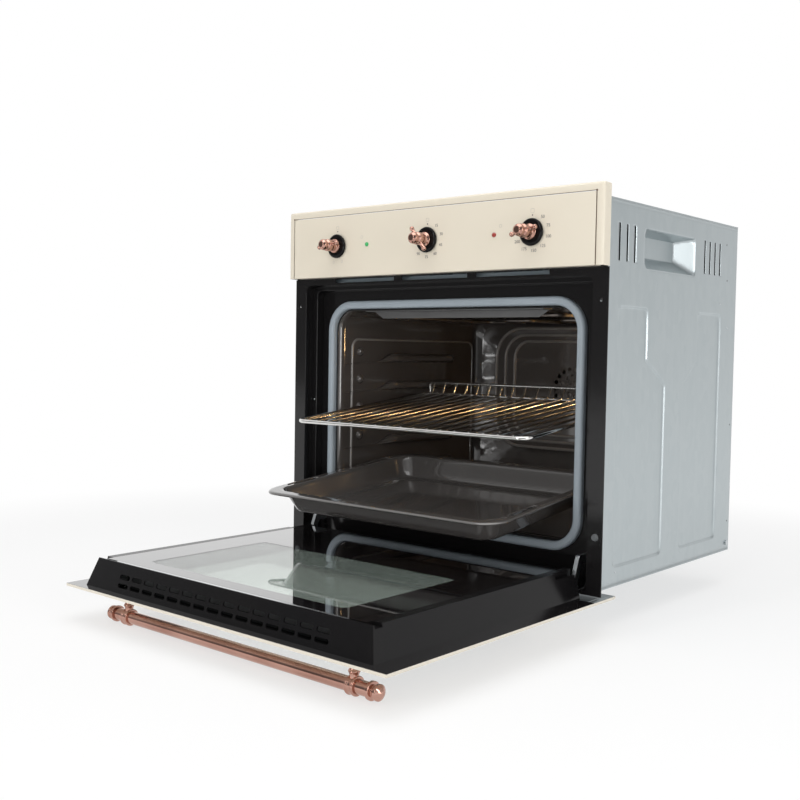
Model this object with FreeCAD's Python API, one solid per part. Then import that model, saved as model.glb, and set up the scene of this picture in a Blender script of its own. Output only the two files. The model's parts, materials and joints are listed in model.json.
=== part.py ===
import FreeCAD, Part
import math
import os

# Built-in oven, door open, rack and tray drawn out.
# Millimetres. X to the right, Y to the back, Z up.
# Origin: casing underside, middle of the width, at the cabinet's front plane.

V = FreeCAD.Vector
X_AXIS = V(1, 0, 0)

# Front and casing
FRONT_WIDTH = 595.0
FRONT_OVERHANG = 20.5
FRONT_DEPTH = 18.0
PANEL_HEIGHT = 109.5
PANEL_RISE = 12.0
PANEL_SHEET = 1.5
PANEL_BORDER = 11.5
PANEL_GROOVE = 1.0
CASING_HEIGHT = 541.0
CASING_DEPTH = 462.0
CASING_SHEET = 1.2
FRAME_SHEET = 1.5
SEAT_GAP = 0.3

# Door
DOOR_BELOW = 35.5
DOOR_GAP = 4.0
DOOR_DEPTH = 42.0
DOOR_SWING = 90.0
OUTER_GLASS = 4.0
MIDDLE_GLASS = 3.0
MIDDLE_GLASS_DEPTH = 20.0
INNER_GLASS = 4.0
GLASS_PLAY = 0.1
GLASS_LEDGE = 14.0
GLASS_GROOVE = 8.0
STRIP_WIDTH = 3.0
STRIP_INSET = 25.0
BODY_CLEARANCE = 6.0
BODY_TOP_INSET = 13.0
BODY_TAPER = 12.0
BODY_WALL = 2.0
SIDE_PROFILE = 26.0
RAIL_HEIGHT = 26.0
RAIL_LIP = 1.5
RAIL_SLOTS = 15
RAIL_SLOT_LENGTH = 22.0
RAIL_SLOT_WIDTH = 6.0
RAIL_END = 67.4
RAIL_ROW_GAP = 11.0
RAIL_ROW_DEPTH = 15.5

# Hinge
HINGE_DEPTH = 15.0
HINGE_HEIGHT = 42.0
HINGE_TOE = 2.0
HINGE_INSET = 13.0
HINGE_PIN_R = 3.0
HINGE_EYE_R = 5.5
HINGE_ARM = 6.0
HINGE_CHEEK = 2.5
HINGE_CHANNEL = 90.0
HINGE_RISE = 38.0
HINGE_KNEE = 15.0
HINGE_BOX = 27.0
HINGE_BOX_WIDTH = 18.0
HINGE_BOX_HEIGHT = 33.0
RUNNING_FIT = 0.05

# Slots: end radius as a share of the width
SLOT_END = 0.47

# Frame recess and seal
RECESS_FLOOR_CLEAR = 3.0
RECESS_CORNER = 14.0
STEP_DEPTH = 18.0
STEP_WIDTH = 8.0
SEAL_WIDTH = 13.0
SEAL_HEIGHT = 9.0
SEAL_MARGIN = 3.0
SEAL_CORNER = 36.0
SEAL_ROUND = 4.8
SEAL_GAP = 0.3
FIXING_INSET = 11.0
FIXING_DROP = 40.5
FIXING_R = 2.6
BUFFER_HEIGHT = 80.0
BUFFER_R = 5.0
BUFFER_TIP_R = 4.0
BUFFER_PROUD = 3.0
OUTLET_SLOTS = 3
OUTLET_END = 82.0
OUTLET_BRIDGE = 16.0
OUTLET_MARGIN = 1.5
DUCT_SHEET = 1.0
DUCT_SIDE = 8.0
DUCT_DEPTH = 120.0
DUCT_SLOPE = 60.0
DUCT_RISE = 13.0

# Cavity and shelf runners
CAVITY_SIDE_CLEAR = 46.0
CAVITY_FLOOR_CLEAR = 57.5
CAVITY_TOP_CLEAR = 33.5
CAVITY_REAR_CLEAR = 37.2
CAVITY_SHEET = 1.5
CAVITY_CORNER = 30.0
CAVITY_LIP = 12.0
RUNNER_LEVELS = 5
RUNNER_FIRST = 67.0
RUNNER_TOP_CLEAR = 69.0
RUNNER_WIDTH = 16.0
RUNNER_HEIGHT = 7.0
RUNNER_START = 13.0
RUNNER_LAMP_GAP = 6.0

# Rack, drawn out and tipped on its runners
RACK_LEVEL = 2
RACK_REAR_CLEAR = 34.0
RACK_SIDE_GAP = 9.0
RACK_ROD_R = 3.0
RACK_WIRE_R = 2.0
RACK_WIRE_LIFT = 1.8
RACK_WIRES = 17
RACK_WIRE_INSET = 20.0
RACK_CORNER = 16.0
RACK_FENCE = 20.0
RACK_FENCE_R = 2.5
RACK_FENCE_BEND = 6.0
RACK_FENCE_INSET = 9.0
RACK_FENCE_RUN = 12.0
RACK_WIRE_BEND = 4.0
RACK_STORED = 18.0
RACK_TILT = 6.5
RACK_TRAVEL = 128.0
RACK_LEAD_IN = 98.0

# Tray, drawn out and tipped on its runners
TRAY_LEVEL = 0
TRAY_REAR_CLEAR = 36.0
TRAY_SIDE_GAP = 9.0
TRAY_SHEET = 1.5
TRAY_RIM = 18.0
TRAY_WALL_SLOPE = 16.0
TRAY_DROP = 35.0
TRAY_CORNER = 34.0
TRAY_SLOT_LENGTH = 62.0
TRAY_SLOT_WIDTH = 6.0
TRAY_SLOT_INSET = 50.0
TRAY_STORED = 14.0
TRAY_TILT = 6.5
TRAY_TRAVEL = 195.0
TRAY_LEAD_IN = 150.0

# Heaters, fan and light
HEATER_R = 3.25
HEATER_BEND = 24.0
GRILL_BEND = 12.0
GRILL_FOLD = 72.0
GRILL_SIDE = 61.0
GRILL_DROP = 8.0
GRILL_FRONT = 46.0
GRILL_LEADS = 60.0
BOTTOM_LOOP_INSET = 50.0
SHIELD_SIDE = 59.0
SHIELD_DROP = 12.0
SHIELD_SLANT = 20.0
SHIELD_SET_BACK = 24.0
FAN_COVER_SIDE = 59.0
FAN_COVER_BELOW = 84.0
FAN_COVER_CLEAR = 4.0
FAN_COVER_DEPTH = 20.0
FAN_COVER_SHEET = 1.2
FAN_COVER_CORNER = 60.0
RIDGES = 3
RIDGE_MARGIN = 3.0
RIDGE_SIDE_PITCH = 21.0
RIDGE_RISE_PITCH = 12.0
RIDGE_WIDTH = 2.0
RIDGE_PROUD = 3.0
FAN_INTAKE_R = 36.0
FAN_INTAKE_RINGS = 3
FAN_RING_HOLES = 6
FAN_HOLE_R = 4.0
FAN_ROTOR_R = 66.0
FAN_BLADES = 8
FAN_BLADE_WIDTH = 20.0
FAN_BLADE_HEIGHT = 10.0
FAN_DISC = 1.5
FAN_SHAFT_R = 4.0
FAN_SHAFT_CLEAR = 1.0
MOTOR_R = 31.0
MOTOR_LENGTH = 26.0
LAMP_R = 21.0
LAMP_EDGE = 3.2
LAMP_PROUD = 7.0
LAMP_CROWN_R = 12.6
LAMP_HOLDER_R = 16.0
LAMP_HOLDER_LENGTH = 30.0
LAMP_CLEAR = 2.0
LAMP_FROM_REAR = 53.0
JACKET_GAP = 1.0
JACKET_THICK = 22.0
JACKET_FRONT = 40.0

# Controls
KNOB_INSET = 111.5
KNOB_DROP = 60.5
LAMP_KNOB_GAP = 64.0
INDICATOR_R = 3.4
INDICATOR_EDGE = 1.0
INDICATOR_PROUD = 2.4
INDICATOR_CROWN_R = 1.7
INDICATOR_STEM_R = 2.7
INDICATOR_STEM = 12.0
SHAFT_R = 3.0
SHAFT_HOLE_R = 4.5
SKIRT_R = 19.0
SKIRT_THICK = 4.5
SKIRT_EDGE = 2.7
SKIRT_CHAMFER = 2.0
SKIRT_LIFT = 0.6
GRIP_R = 11.0
GRIP_LENGTH = 33.0
GRIP_SOCKET = 20.0
LEVER_R = 3.0
LEVER_BALL_R = 3.75
LEVER_SPAN = 19.0
LEVER_HEIGHT = 17.0
SWITCH_DEPTH = 34.0
SWITCH_HALF = 22.0
LEVER_ANGLES = {"function": 8.0, "timer": 128.0, "heat": 12.0}
# Turned outline of a grip: shares of its length and of its radius
GRIP_PROFILE = ((0, 0), (0, 1), (0.1, 1), (0.16, 0.72), (0.3, 0.66), (0.42, 0.85), (0.62, 0.85), (0.7, 0.62),
                (0.8, 0.8), (0.92, 0.74), (1, 0.45), (1, 0))

# Handle
HANDLE_DROP = 44.0
HANDLE_STANDOFF = 36.8
HANDLE_R = 8.5
HANDLE_WALL = 1.2
HANDLE_INSET = 60.5
POST_INSET = 25.0
POST_R = 5.5
POST_FOOT_R = 10.0
POST_FOOT = 3.5
POST_RING_R = 11.5
POST_RING_LENGTH = 13.0
FINIAL_LENGTH = 18.0
FINIAL_SPIGOT = 12.0
# Turned outlines: shares of the length and of the tube's or post's radius
FINIAL_PROFILE = ((0, 1.3), (0.22, 1.3), (0.3, 0.76), (0.42, 0.82), (0.52, 1.12), (0.74, 1.12), (0.9, 0.7),
                  (1, 0.3), (1, 0))
POST_PROFILE = ((0.15, 1.2), (0.45, 1), (0.55, 1.36), (0.65, 1), (1, 1), (1, 0))

# Casing pressings
VENT_WIDTH = 5.0
VENT_HEIGHT = 52.0
UPPER_INSET = 33.0
FRONT_VENTS = 3
FRONT_VENT_START = 60.0
FRONT_VENT_PITCH = 22.0
REAR_VENTS = 4
REAR_VENT_INSET = 128.0
REAR_VENT_PITCH = 19.0
PRESS_DEPTH = 3.0
PRESS_CORNER = 9.0
PRESS_BASE = 28.0
PRESS_TOP_INSET = 148.0
PRESS_NECK_HEIGHT = 75.0
PRESS_SHOULDER = 36.0
PRESS_NECK = 86.0
PRESS_FRONT_START = 66.0
PRESS_FRONT_BODY = 146.0
PRESS_REAR_INSET = 58.0
PRESS_REAR_BODY = 132.0
CARRY_START = 137.0
CARRY_REAR_INSET = 157.0
CARRY_HEIGHT = 59.0
CARRY_DEPTH = 25.0
CARRY_SLOPE = 20.0
CARRY_DRAFT = 7.0
CARRY_END_DRAFT = 30.0
CARRY_CORNER = 11.0
SCREW_R = 2.0
SCREW_HEAD_R = 4.0
SCREW_HEAD = 2.2
SCREW_LENGTH = 6.0
SCREW_INSET = 12.0
TERMINAL_WIDTH = 90.0
TERMINAL_HEIGHT = 60.0
TERMINAL_DEPTH = 34.0
TERMINAL_SIDE = 127.0
TERMINAL_INSET = 41.0
GLAND_R = 10.0
GLAND_BORE_R = 5.0
GLAND_PROUD = 12.0
GLAND_THREAD_R = 8.0

# Places worked out from the sizes above
half_front = FRONT_WIDTH / 2
half_casing = half_front - FRONT_OVERHANG
front_y = -FRONT_DEPTH
flange_y = -FRAME_SHEET
panel_top = CASING_HEIGHT + PANEL_RISE
panel_bottom = panel_top - PANEL_HEIGHT
plate_half = half_front - PANEL_SHEET - PANEL_GROOVE
door_top = panel_bottom - DOOR_GAP
door_bottom = -DOOR_BELOW
fixing_z = door_top - FIXING_DROP
axis_y = front_y + HINGE_DEPTH
axis_z = door_bottom + HINGE_HEIGHT
recess_half = half_casing - CASING_SHEET - SEAT_GAP - FRAME_SHEET
body_half = recess_half - BODY_CLEARANCE
body_front = front_y + OUTER_GLASS
body_rear = front_y + DOOR_DEPTH
body_top = door_top - BODY_TOP_INSET
body_bottom = axis_z + HINGE_TOE
recess_top = body_top + BODY_CLEARANCE
recess_bottom = body_bottom - RECESS_FLOOR_CLEAR
step_top = recess_top - STEP_WIDTH
floor_y = body_rear + SEAL_GAP + SEAL_HEIGHT
floor_back = floor_y + FRAME_SHEET
pane_half = body_half - SIDE_PROFILE
pane_seat = body_rear - INNER_GLASS
pane_low = body_bottom + BODY_TAPER + RAIL_LIP + GLASS_PLAY
pane_high = body_top - BODY_TAPER - RAIL_LIP - STRIP_WIDTH - 2 * GLASS_PLAY
hinge_x = body_half - HINGE_INSET
half_cavity = half_casing - CAVITY_SIDE_CLEAR
cavity_bottom = recess_bottom + CAVITY_FLOOR_CLEAR
cavity_top = step_top - CAVITY_TOP_CLEAR
cavity_back = CASING_DEPTH - CAVITY_REAR_CLEAR
runner_pitch = (cavity_top - cavity_bottom - RUNNER_FIRST - RUNNER_TOP_CLEAR) / (RUNNER_LEVELS - 1)
runner_start = floor_back + RUNNER_START
runner_end = cavity_back - LAMP_FROM_REAR - LAMP_R - RUNNER_LAMP_GAP
fan_low = cavity_bottom + FAN_COVER_BELOW
fan_high = cavity_top - GRILL_DROP - HEATER_R - FAN_COVER_CLEAR
fan_z = (fan_low + fan_high) / 2
knob_z = panel_top - KNOB_DROP
knob_x = half_front - KNOB_INSET
lamp_x = knob_x - LAMP_KNOB_GAP
vent_base = CASING_HEIGHT - UPPER_INSET - VENT_HEIGHT
carry_base = CASING_HEIGHT - UPPER_INSET - CARRY_HEIGHT
terminal_base = CASING_HEIGHT - TERMINAL_INSET - TERMINAL_HEIGHT
handle_y = front_y - HANDLE_STANDOFF
handle_z = door_top - HANDLE_DROP
handle_half = half_front - HANDLE_INSET


def box(x0, x1, y0, y1, z0, z1):
    """Block between two opposite corners."""
    return Part.makeBox(x1 - x0, y1 - y0, z1 - z0, V(x0, y0, z0))


def round_block(x0, x1, y0, y1, z0, z1, radius, axis, lowest=-math.inf):
    """Block whose edges along one axis are rounded, those above one height only if it is given."""
    block = box(x0, x1, y0, y1, z0, z1)
    edges = []
    for edge in block.Edges:
        run = edge.Vertexes[1].Point - edge.Vertexes[0].Point
        if abs(run.dot(axis)) > 0.5 * run.Length and edge.CenterOfMass.z > lowest:
            edges.append(edge)
    return block.makeFillet(radius, edges)


def rod(radius, start, end):
    """Round bar from one point to another."""
    run = end - start
    return Part.makeCylinder(radius, run.Length, start, run)


def prism(points, run):
    """Flat outline pushed along a vector."""
    return Part.Face(Part.makePolygon(points + [points[0]])).extrude(run)


def join(shapes):
    """One solid from pieces that meet."""
    return shapes[0].multiFuse(shapes[1:]).removeSplitter()


def parted(shape, sides, heights):
    """Sheets of a welded shell, parted along upright planes across X and level planes."""
    bounds = shape.BoundBox
    xs = [bounds.XMin, *sides, bounds.XMax]
    zs = [bounds.ZMin, *heights, bounds.ZMax]
    sheets = []
    for x0, x1 in zip(xs, xs[1:]):
        for z0, z1 in zip(zs, zs[1:]):
            cell = box(x0, x1, bounds.YMin, bounds.YMax, z0, z1)
            sheets.extend(shape.common(cell).Solids)
    return sheets


def turned(profile, origin, axis):
    """Solid turned about an axis from (distance along it, radius) points."""
    points = [V(radius, 0, along) for along, radius in profile]
    face = Part.Face(Part.makePolygon(points + [points[0]]))
    solid = face.revolve(V(0, 0, 0), V(0, 0, 1), 360)
    solid.Placement = FreeCAD.Placement(origin, FreeCAD.Rotation(V(0, 0, 1), axis))
    return solid


def bent_path(points, bend):
    """Straight runs joined by tangent arcs of one radius."""
    edges = []
    start = points[0]
    for before, corner, after in zip(points, points[1:], points[2:]):
        to_before = V(before - corner).normalize()
        to_after = V(after - corner).normalize()
        half_angle = to_before.getAngle(to_after) / 2
        trim = bend / math.tan(half_angle)
        inward = V(to_before + to_after).normalize()
        arc_start = corner + to_before * trim
        arc_end = corner + to_after * trim
        arc_middle = corner + inward * (bend / math.sin(half_angle) - bend)
        edges.append(Part.LineSegment(start, arc_start).toShape())
        edges.append(Part.Arc(arc_start, arc_middle, arc_end).toShape())
        start = arc_end
    edges.append(Part.LineSegment(start, points[-1]).toShape())
    return Part.Wire(edges)


def bent_rod(points, bend, radius):
    """Round bar along a bent path."""
    circle = Part.Circle(points[0], points[1] - points[0], radius)
    return bent_path(points, bend).makePipeShell([Part.Wire(circle.toShape())], True, False)


def mirrored(shape):
    """The same piece on the other side of the oven."""
    return shape.mirror(V(0, 0, 0), X_AXIS)


def opened(shape):
    """A door piece, drawn closed, turned to the open door's place."""
    return shape.rotated(V(0, axis_y, axis_z), X_AXIS, DOOR_SWING)


def runner_top(level):
    """Height of a shelf runner's upper face."""
    return cavity_bottom + RUNNER_FIRST + runner_pitch * level


def travel_radius(tilt, travel):
    """Radius of the shallow arc along which a shelf tips and slides."""
    return travel / math.sin(math.radians(tilt))


def travel_pole(level, tilt, travel):
    """Centre of that arc, under the end of the runner's lead-in."""
    lead_in = TRAY_LEAD_IN if level == TRAY_LEVEL else RACK_LEAD_IN
    return V(0, runner_start + lead_in, runner_top(level) + SEAT_GAP - travel_radius(tilt, travel))


def drawn_out(shape, level, tilt, travel):
    """A shelf, drawn level and fully in, moved to its drawn-out place."""
    return shape.rotated(travel_pole(level, tilt, travel), X_AXIS, tilt)


def front_frame():
    """Black front of welded sheets: flange and stepped recess, then the recess floor round the mouth."""
    plate = box(-half_front, half_front, flange_y, 0, 0, panel_bottom - PANEL_GROOVE)
    backing = box(-plate_half, plate_half, flange_y, 0, panel_bottom - DOOR_GAP, CASING_HEIGHT)
    wall = FRAME_SHEET
    half = recess_half
    inner_half = recess_half - STEP_WIDTH
    low = recess_bottom
    along_y = V(0, 1, 0)
    outer_tub = round_block(-half - wall, half + wall, flange_y, STEP_DEPTH + wall,
                            low - wall, recess_top + wall, RECESS_CORNER + wall, along_y, low)
    inner_tub = round_block(-inner_half - wall, inner_half + wall, STEP_DEPTH, floor_back,
                            low - wall, step_top + wall, RECESS_CORNER + wall, along_y, low)
    outer_space = round_block(-half, half, flange_y, STEP_DEPTH, low, recess_top, RECESS_CORNER, along_y, low)
    inner_space = round_block(-inner_half, inner_half, flange_y, floor_y, low, step_top,
                              RECESS_CORNER, along_y, low)
    mouth = round_block(-half_cavity, half_cavity, floor_y, floor_back, cavity_bottom, cavity_top,
                        CAVITY_CORNER, along_y)
    cuts = [outer_space, inner_space, mouth]
    outlet_low = recess_top + wall + OUTLET_MARGIN
    outlet_high = panel_bottom - OUTLET_MARGIN
    pitch = 2 * (plate_half - OUTLET_END) / OUTLET_SLOTS
    reach = (pitch - OUTLET_BRIDGE) / 2
    for index in range(OUTLET_SLOTS):
        middle = (index - (OUTLET_SLOTS - 1) / 2) * pitch
        cuts.append(box(middle - reach, middle + reach, flange_y, 0, outlet_low, outlet_high))
    for x in (-knob_x, 0, knob_x):
        cuts.append(rod(SHAFT_HOLE_R, V(x, flange_y, knob_z), V(x, 0, knob_z)))
    for side in (-1, 1):
        x = side * (half_front - FIXING_INSET)
        cuts.append(rod(FIXING_R, V(x, flange_y, fixing_z), V(x, 0, fixing_z)))
        x = side * hinge_x
        notch = HINGE_ARM / 2 + HINGE_CHEEK * 2 + BODY_WALL
        cuts.append(box(x - notch, x + notch, flange_y, axis_y + HINGE_EYE_R + BODY_WALL, 0,
                        recess_bottom))
        slot = HINGE_ARM / 2
        rise = axis_z + HINGE_RISE
        cuts.append(box(x - slot, x + slot, floor_y, floor_back, rise - HINGE_EYE_R, rise + HINGE_EYE_R))
    frame = join([plate, backing, outer_tub, inner_tub]).cut(cuts)
    rim = frame.common(box(-half_front, half_front, flange_y, floor_y, 0, CASING_HEIGHT))
    floor = frame.common(box(-half_front, half_front, floor_y, floor_back, 0, CASING_HEIGHT))
    rim_flat = inner_half - RECESS_CORNER
    rim_sheets = parted(rim, (-rim_flat, rim_flat), (low, step_top - RECESS_CORNER))
    mouth_flat = half_cavity - CAVITY_CORNER
    floor_sheets = parted(floor, (-mouth_flat, mouth_flat),
                          (cavity_bottom + CAVITY_CORNER, cavity_top - CAVITY_CORNER))
    return Part.makeCompound(rim_sheets + floor_sheets)


def air_duct():
    """Folded duct behind the outlet slots, open at the rear and higher there."""
    half = plate_half - OUTLET_END + DUCT_SIDE
    low = recess_top + FRAME_SHEET + SEAT_GAP
    walls = []
    for wall in (0, DUCT_SHEET):
        high = panel_bottom - wall
        outline = [(0, low + wall), (DUCT_DEPTH, low + wall), (DUCT_DEPTH, high + DUCT_RISE),
                   (DUCT_SLOPE, high + DUCT_RISE), (0, high)]
        walls.append(prism([V(wall - half, y, z) for y, z in outline], V(2 * (half - wall), 0, 0)))
    return walls[0].cut(walls[1])


def panel_surround():
    """Border channel round the left, top and right of the panel."""
    sheet = PANEL_SHEET
    border = box(-half_front, half_front, front_y, 0, panel_bottom, panel_top)
    inner = half_front - PANEL_BORDER
    window = box(-inner, inner, front_y, 0, panel_bottom, panel_top - PANEL_BORDER)
    hollow = box(-half_front + sheet, half_front - sheet, front_y + sheet, flange_y - sheet,
                 panel_bottom, panel_top - sheet)
    back = box(-half_front + sheet, half_front - sheet, flange_y, 0, panel_bottom, panel_top - sheet)
    return border.cut([window, hollow, back])


def panel_fascia():
    """Inset plate with a folded lower edge, bored for shafts and lamps."""
    half = half_front - PANEL_BORDER - PANEL_GROOVE
    top = panel_top - PANEL_BORDER - PANEL_GROOVE
    plate = box(-half, half, front_y, front_y + PANEL_SHEET, panel_bottom, top)
    fold = box(-half, half, front_y, flange_y, panel_bottom, panel_bottom + PANEL_SHEET)
    holes = []
    for x in (-knob_x, 0, knob_x):
        holes.append(rod(SHAFT_HOLE_R, V(x, front_y, knob_z), V(x, 0, knob_z)))
    for x in (-lamp_x, lamp_x):
        holes.append(rod(INDICATOR_STEM_R + RUNNING_FIT, V(x, front_y, knob_z), V(x, flange_y, knob_z)))
    return join([plate, fold]).cut(holes)


def pressing(edge_y, toward, body):
    """Inner and outer blocks of one sunken bottle outline with its straight edge at edge_y."""
    top = CASING_HEIGHT - PRESS_TOP_INSET
    shoulder = top - PRESS_NECK_HEIGHT
    corners = [(0, top), (PRESS_NECK, top), (PRESS_NECK, shoulder), (body, shoulder - PRESS_SHOULDER),
               (body, PRESS_BASE), (0, PRESS_BASE)]
    points = [V(half_casing, edge_y + toward * along, z) for along, z in corners]
    blocks = []
    for grow in (0, CASING_SHEET):
        depth = PRESS_DEPTH + grow
        face = Part.Face(Part.makePolygon(points + [points[0]]))
        outline = face.makeOffset2D(grow) if grow else face
        block = outline.extrude(V(-depth, 0, 0))
        edges = [edge for edge in block.Edges if abs(edge.Length - depth) < 1e-6
                 and abs(edge.tangentAt(edge.FirstParameter).x) > 0.99]
        blocks.append(block.makeFillet(PRESS_CORNER, edges) if not grow else block)
    return blocks


def carry_recess():
    """Inner and outer tapered blocks of the hand hold on the right side."""
    blocks = []
    for grow in (0, CASING_SHEET):
        wires = []
        sunk = (CARRY_DEPTH + grow, CARRY_END_DRAFT, CARRY_DRAFT, CARRY_SLOPE)
        for depth, run, draft, slope in ((0, 0, 0, 0), sunk):
            x = half_casing - depth
            y0 = CARRY_START + run - grow
            y1 = CASING_DEPTH - CARRY_REAR_INSET - run + grow
            mouth = round_block(x - CASING_SHEET, x, y0, y1, carry_base + slope - grow,
                                carry_base + CARRY_HEIGHT - draft + grow, CARRY_CORNER, X_AXIS)
            face = max(mouth.Faces, key=lambda one: one.CenterOfMass.x)
            wires.append(face.OuterWire)
        blocks.append(Part.makeLoft(wires, True, True))
    return blocks


def side_panel():
    """Right casing side with vents, hand hold and sunken outlines."""
    x = half_casing
    sheet = box(x - CASING_SHEET, x, 0, CASING_DEPTH - CASING_SHEET, CASING_SHEET,
                CASING_HEIGHT - CASING_SHEET)
    spaces = []
    for edge, toward, body in ((PRESS_FRONT_START, 1, PRESS_FRONT_BODY),
                               (CASING_DEPTH - PRESS_REAR_INSET, -1, PRESS_REAR_BODY)):
        inner, outer = pressing(edge, toward, body)
        sheet = sheet.fuse(outer)
        spaces.append(inner)
    inner, outer = carry_recess()
    sheet = sheet.fuse(outer)
    spaces.append(inner)
    starts = [FRONT_VENT_START + FRONT_VENT_PITCH * index for index in range(FRONT_VENTS)]
    starts += [CASING_DEPTH - REAR_VENT_INSET + REAR_VENT_PITCH * index for index in range(REAR_VENTS)]
    for y in starts:
        spaces.append(round_block(x - CASING_SHEET, x, y, y + VENT_WIDTH, vent_base, vent_base + VENT_HEIGHT,
                                  VENT_WIDTH * SLOT_END, X_AXIS))
    for place in side_screw_places():
        spaces.append(rod(SCREW_R + RUNNING_FIT, place - V(CASING_SHEET, 0, 0), place))
    return sheet.cut(spaces).removeSplitter()


def flat_cover(z0):
    """Top or bottom casing sheet."""
    return box(-half_casing, half_casing, 0, CASING_DEPTH, z0, z0 + CASING_SHEET)


def rear_screw_places():
    """Screw centres round the rear cover."""
    x = half_casing - CASING_SHEET - SCREW_INSET
    low = CASING_SHEET + SCREW_INSET
    high = CASING_HEIGHT - CASING_SHEET - SCREW_INSET
    return [(side * x, z) for side in (-1, 1) for z in (low, (low + high) / 2, high)]


def rear_cover():
    """Rear casing sheet, bored for its screws and the cable gland."""
    half = half_casing - CASING_SHEET
    y0 = CASING_DEPTH - CASING_SHEET
    sheet = box(-half, half, y0, CASING_DEPTH, CASING_SHEET, CASING_HEIGHT - CASING_SHEET)
    holes = [rod(SCREW_R + RUNNING_FIT, V(x, y0, z), V(x, CASING_DEPTH, z)) for x, z in rear_screw_places()]
    gland = gland_place()
    holes.append(rod(GLAND_THREAD_R + RUNNING_FIT, V(gland.x, y0, gland.z), gland))
    return sheet.cut(holes)


def gland_place():
    """Where the mains cable enters the rear cover."""
    return V(TERMINAL_SIDE - half_casing, CASING_DEPTH, terminal_base + TERMINAL_HEIGHT / 2)


def terminal_box():
    """Terminal housing on the inside of the rear cover."""
    place = gland_place()
    y1 = CASING_DEPTH - CASING_SHEET
    block = box(place.x - TERMINAL_WIDTH / 2, place.x + TERMINAL_WIDTH / 2, y1 - TERMINAL_DEPTH, y1,
                terminal_base, terminal_base + TERMINAL_HEIGHT)
    bore = rod(GLAND_THREAD_R + RUNNING_FIT, V(place.x, y1 - TERMINAL_DEPTH / 2, place.z),
               V(place.x, y1, place.z))
    return block.cut(bore)


def cable_gland():
    """Cable inlet with a through bore."""
    place = gland_place()
    nose = place + V(0, GLAND_PROUD, 0)
    tail = place - V(0, CASING_SHEET + TERMINAL_DEPTH / 2, 0)
    body = join([rod(GLAND_R, place, nose), rod(GLAND_THREAD_R, tail, place)])
    return body.cut(rod(GLAND_BORE_R, tail, nose))


def screws(places, outward):
    """Group of pan-head screws: head outside, shank inward."""
    solids = []
    for place in places:
        head = rod(SCREW_HEAD_R, place, place + outward * SCREW_HEAD)
        shank = rod(SCREW_R, place - outward * SCREW_LENGTH, place)
        solids.append(join([head, shank]))
    return Part.makeCompound(solids)


def cavity_shell():
    """Outer and inner rounded boxes of the muffle."""
    along_y = V(0, 1, 0)
    sheet = CAVITY_SHEET
    outer = round_block(-half_cavity - sheet, half_cavity + sheet, floor_back, cavity_back + sheet,
                        cavity_bottom - sheet, cavity_top + sheet, CAVITY_CORNER + sheet, along_y)
    inner = round_block(-half_cavity, half_cavity, floor_back, cavity_back, cavity_bottom, cavity_top,
                        CAVITY_CORNER, along_y)
    return outer, inner


def runner(level):
    """Right-hand shelf runner: flat, with a front lead-in curved about its shelf's pole."""
    top = runner_top(level)
    tilt, travel = (TRAY_TILT, TRAY_TRAVEL) if level == TRAY_LEVEL else (RACK_TILT, RACK_TRAVEL)
    pole = travel_pole(level, tilt, travel)
    radius = travel_radius(tilt, travel) - SEAT_GAP
    inner_x = half_cavity - RUNNER_WIDTH
    flat = box(inner_x, half_cavity, pole.y, runner_end, top - RUNNER_HEIGHT, top)
    start = V(inner_x, pole.y, pole.z)
    end = V(half_cavity, pole.y, pole.z)
    ring = rod(radius, start, end).cut(rod(radius - RUNNER_HEIGHT, start, end))
    lead = ring.common(box(inner_x, half_cavity, runner_start, pole.y, pole.z, top))
    return join([flat, lead])


def shelf_runners():
    """All right-hand runners, one solid for each level."""
    return Part.makeCompound([runner(level) for level in range(RUNNER_LEVELS)])


def cavity():
    """Muffle of welded sheets with a front lip and openings for fan, heater and light."""
    outer, inner = cavity_shell()
    lip = round_block(-half_cavity - CAVITY_LIP, half_cavity + CAVITY_LIP, floor_back,
                      floor_back + CAVITY_SHEET, cavity_bottom - CAVITY_LIP, cavity_top + CAVITY_LIP,
                      CAVITY_CORNER + CAVITY_LIP, V(0, 1, 0))
    shell = join([outer, lip]).cut(inner)
    rear = cavity_back + CAVITY_SHEET
    holes = [rod(FAN_SHAFT_R + FAN_SHAFT_CLEAR, V(0, cavity_back, fan_z), V(0, rear, fan_z))]
    for x in (-GRILL_LEADS / 2, GRILL_LEADS / 2):
        z = cavity_top - GRILL_DROP
        holes.append(rod(HEATER_R + RUNNING_FIT, V(x, cavity_back, z), V(x, rear, z)))
    lamp = lamp_place()
    holes.append(rod(LAMP_HOLDER_R + RUNNING_FIT, lamp, lamp + V(CAVITY_SHEET, 0, 0)))
    shell = shell.cut(holes)
    bounds = shell.BoundBox
    across = (bounds.XMin, bounds.XMax)
    upright = (bounds.ZMin, bounds.ZMax)
    rear_wall = shell.common(box(*across, cavity_back, rear, *upright))
    tube = shell.common(box(*across, floor_back, cavity_back, *upright))
    flat = half_cavity - CAVITY_CORNER
    turn = flat + CAVITY_CORNER * math.sqrt(0.5)
    sheets = parted(tube, (-turn, -flat, flat, turn),
                    (cavity_bottom + CAVITY_CORNER, cavity_top - CAVITY_CORNER))
    return Part.makeCompound([rear_wall] + sheets)


def lamp_place():
    """Centre of the light on the right wall."""
    return V(half_cavity, cavity_back - LAMP_FROM_REAR, cavity_top - CAVITY_CORNER - LAMP_R - LAMP_CLEAR)


def lamp_holder():
    """Lamp socket through the right wall."""
    lamp = lamp_place()
    return rod(LAMP_HOLDER_R, lamp, lamp + V(LAMP_HOLDER_LENGTH, 0, 0))


def lamp_glass():
    """Domed lens over the lamp socket."""
    profile = [(0, 0), (0, LAMP_R), (LAMP_EDGE, LAMP_R), (LAMP_PROUD, LAMP_CROWN_R), (LAMP_PROUD, 0)]
    return turned(profile, lamp_place(), -X_AXIS)


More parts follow.
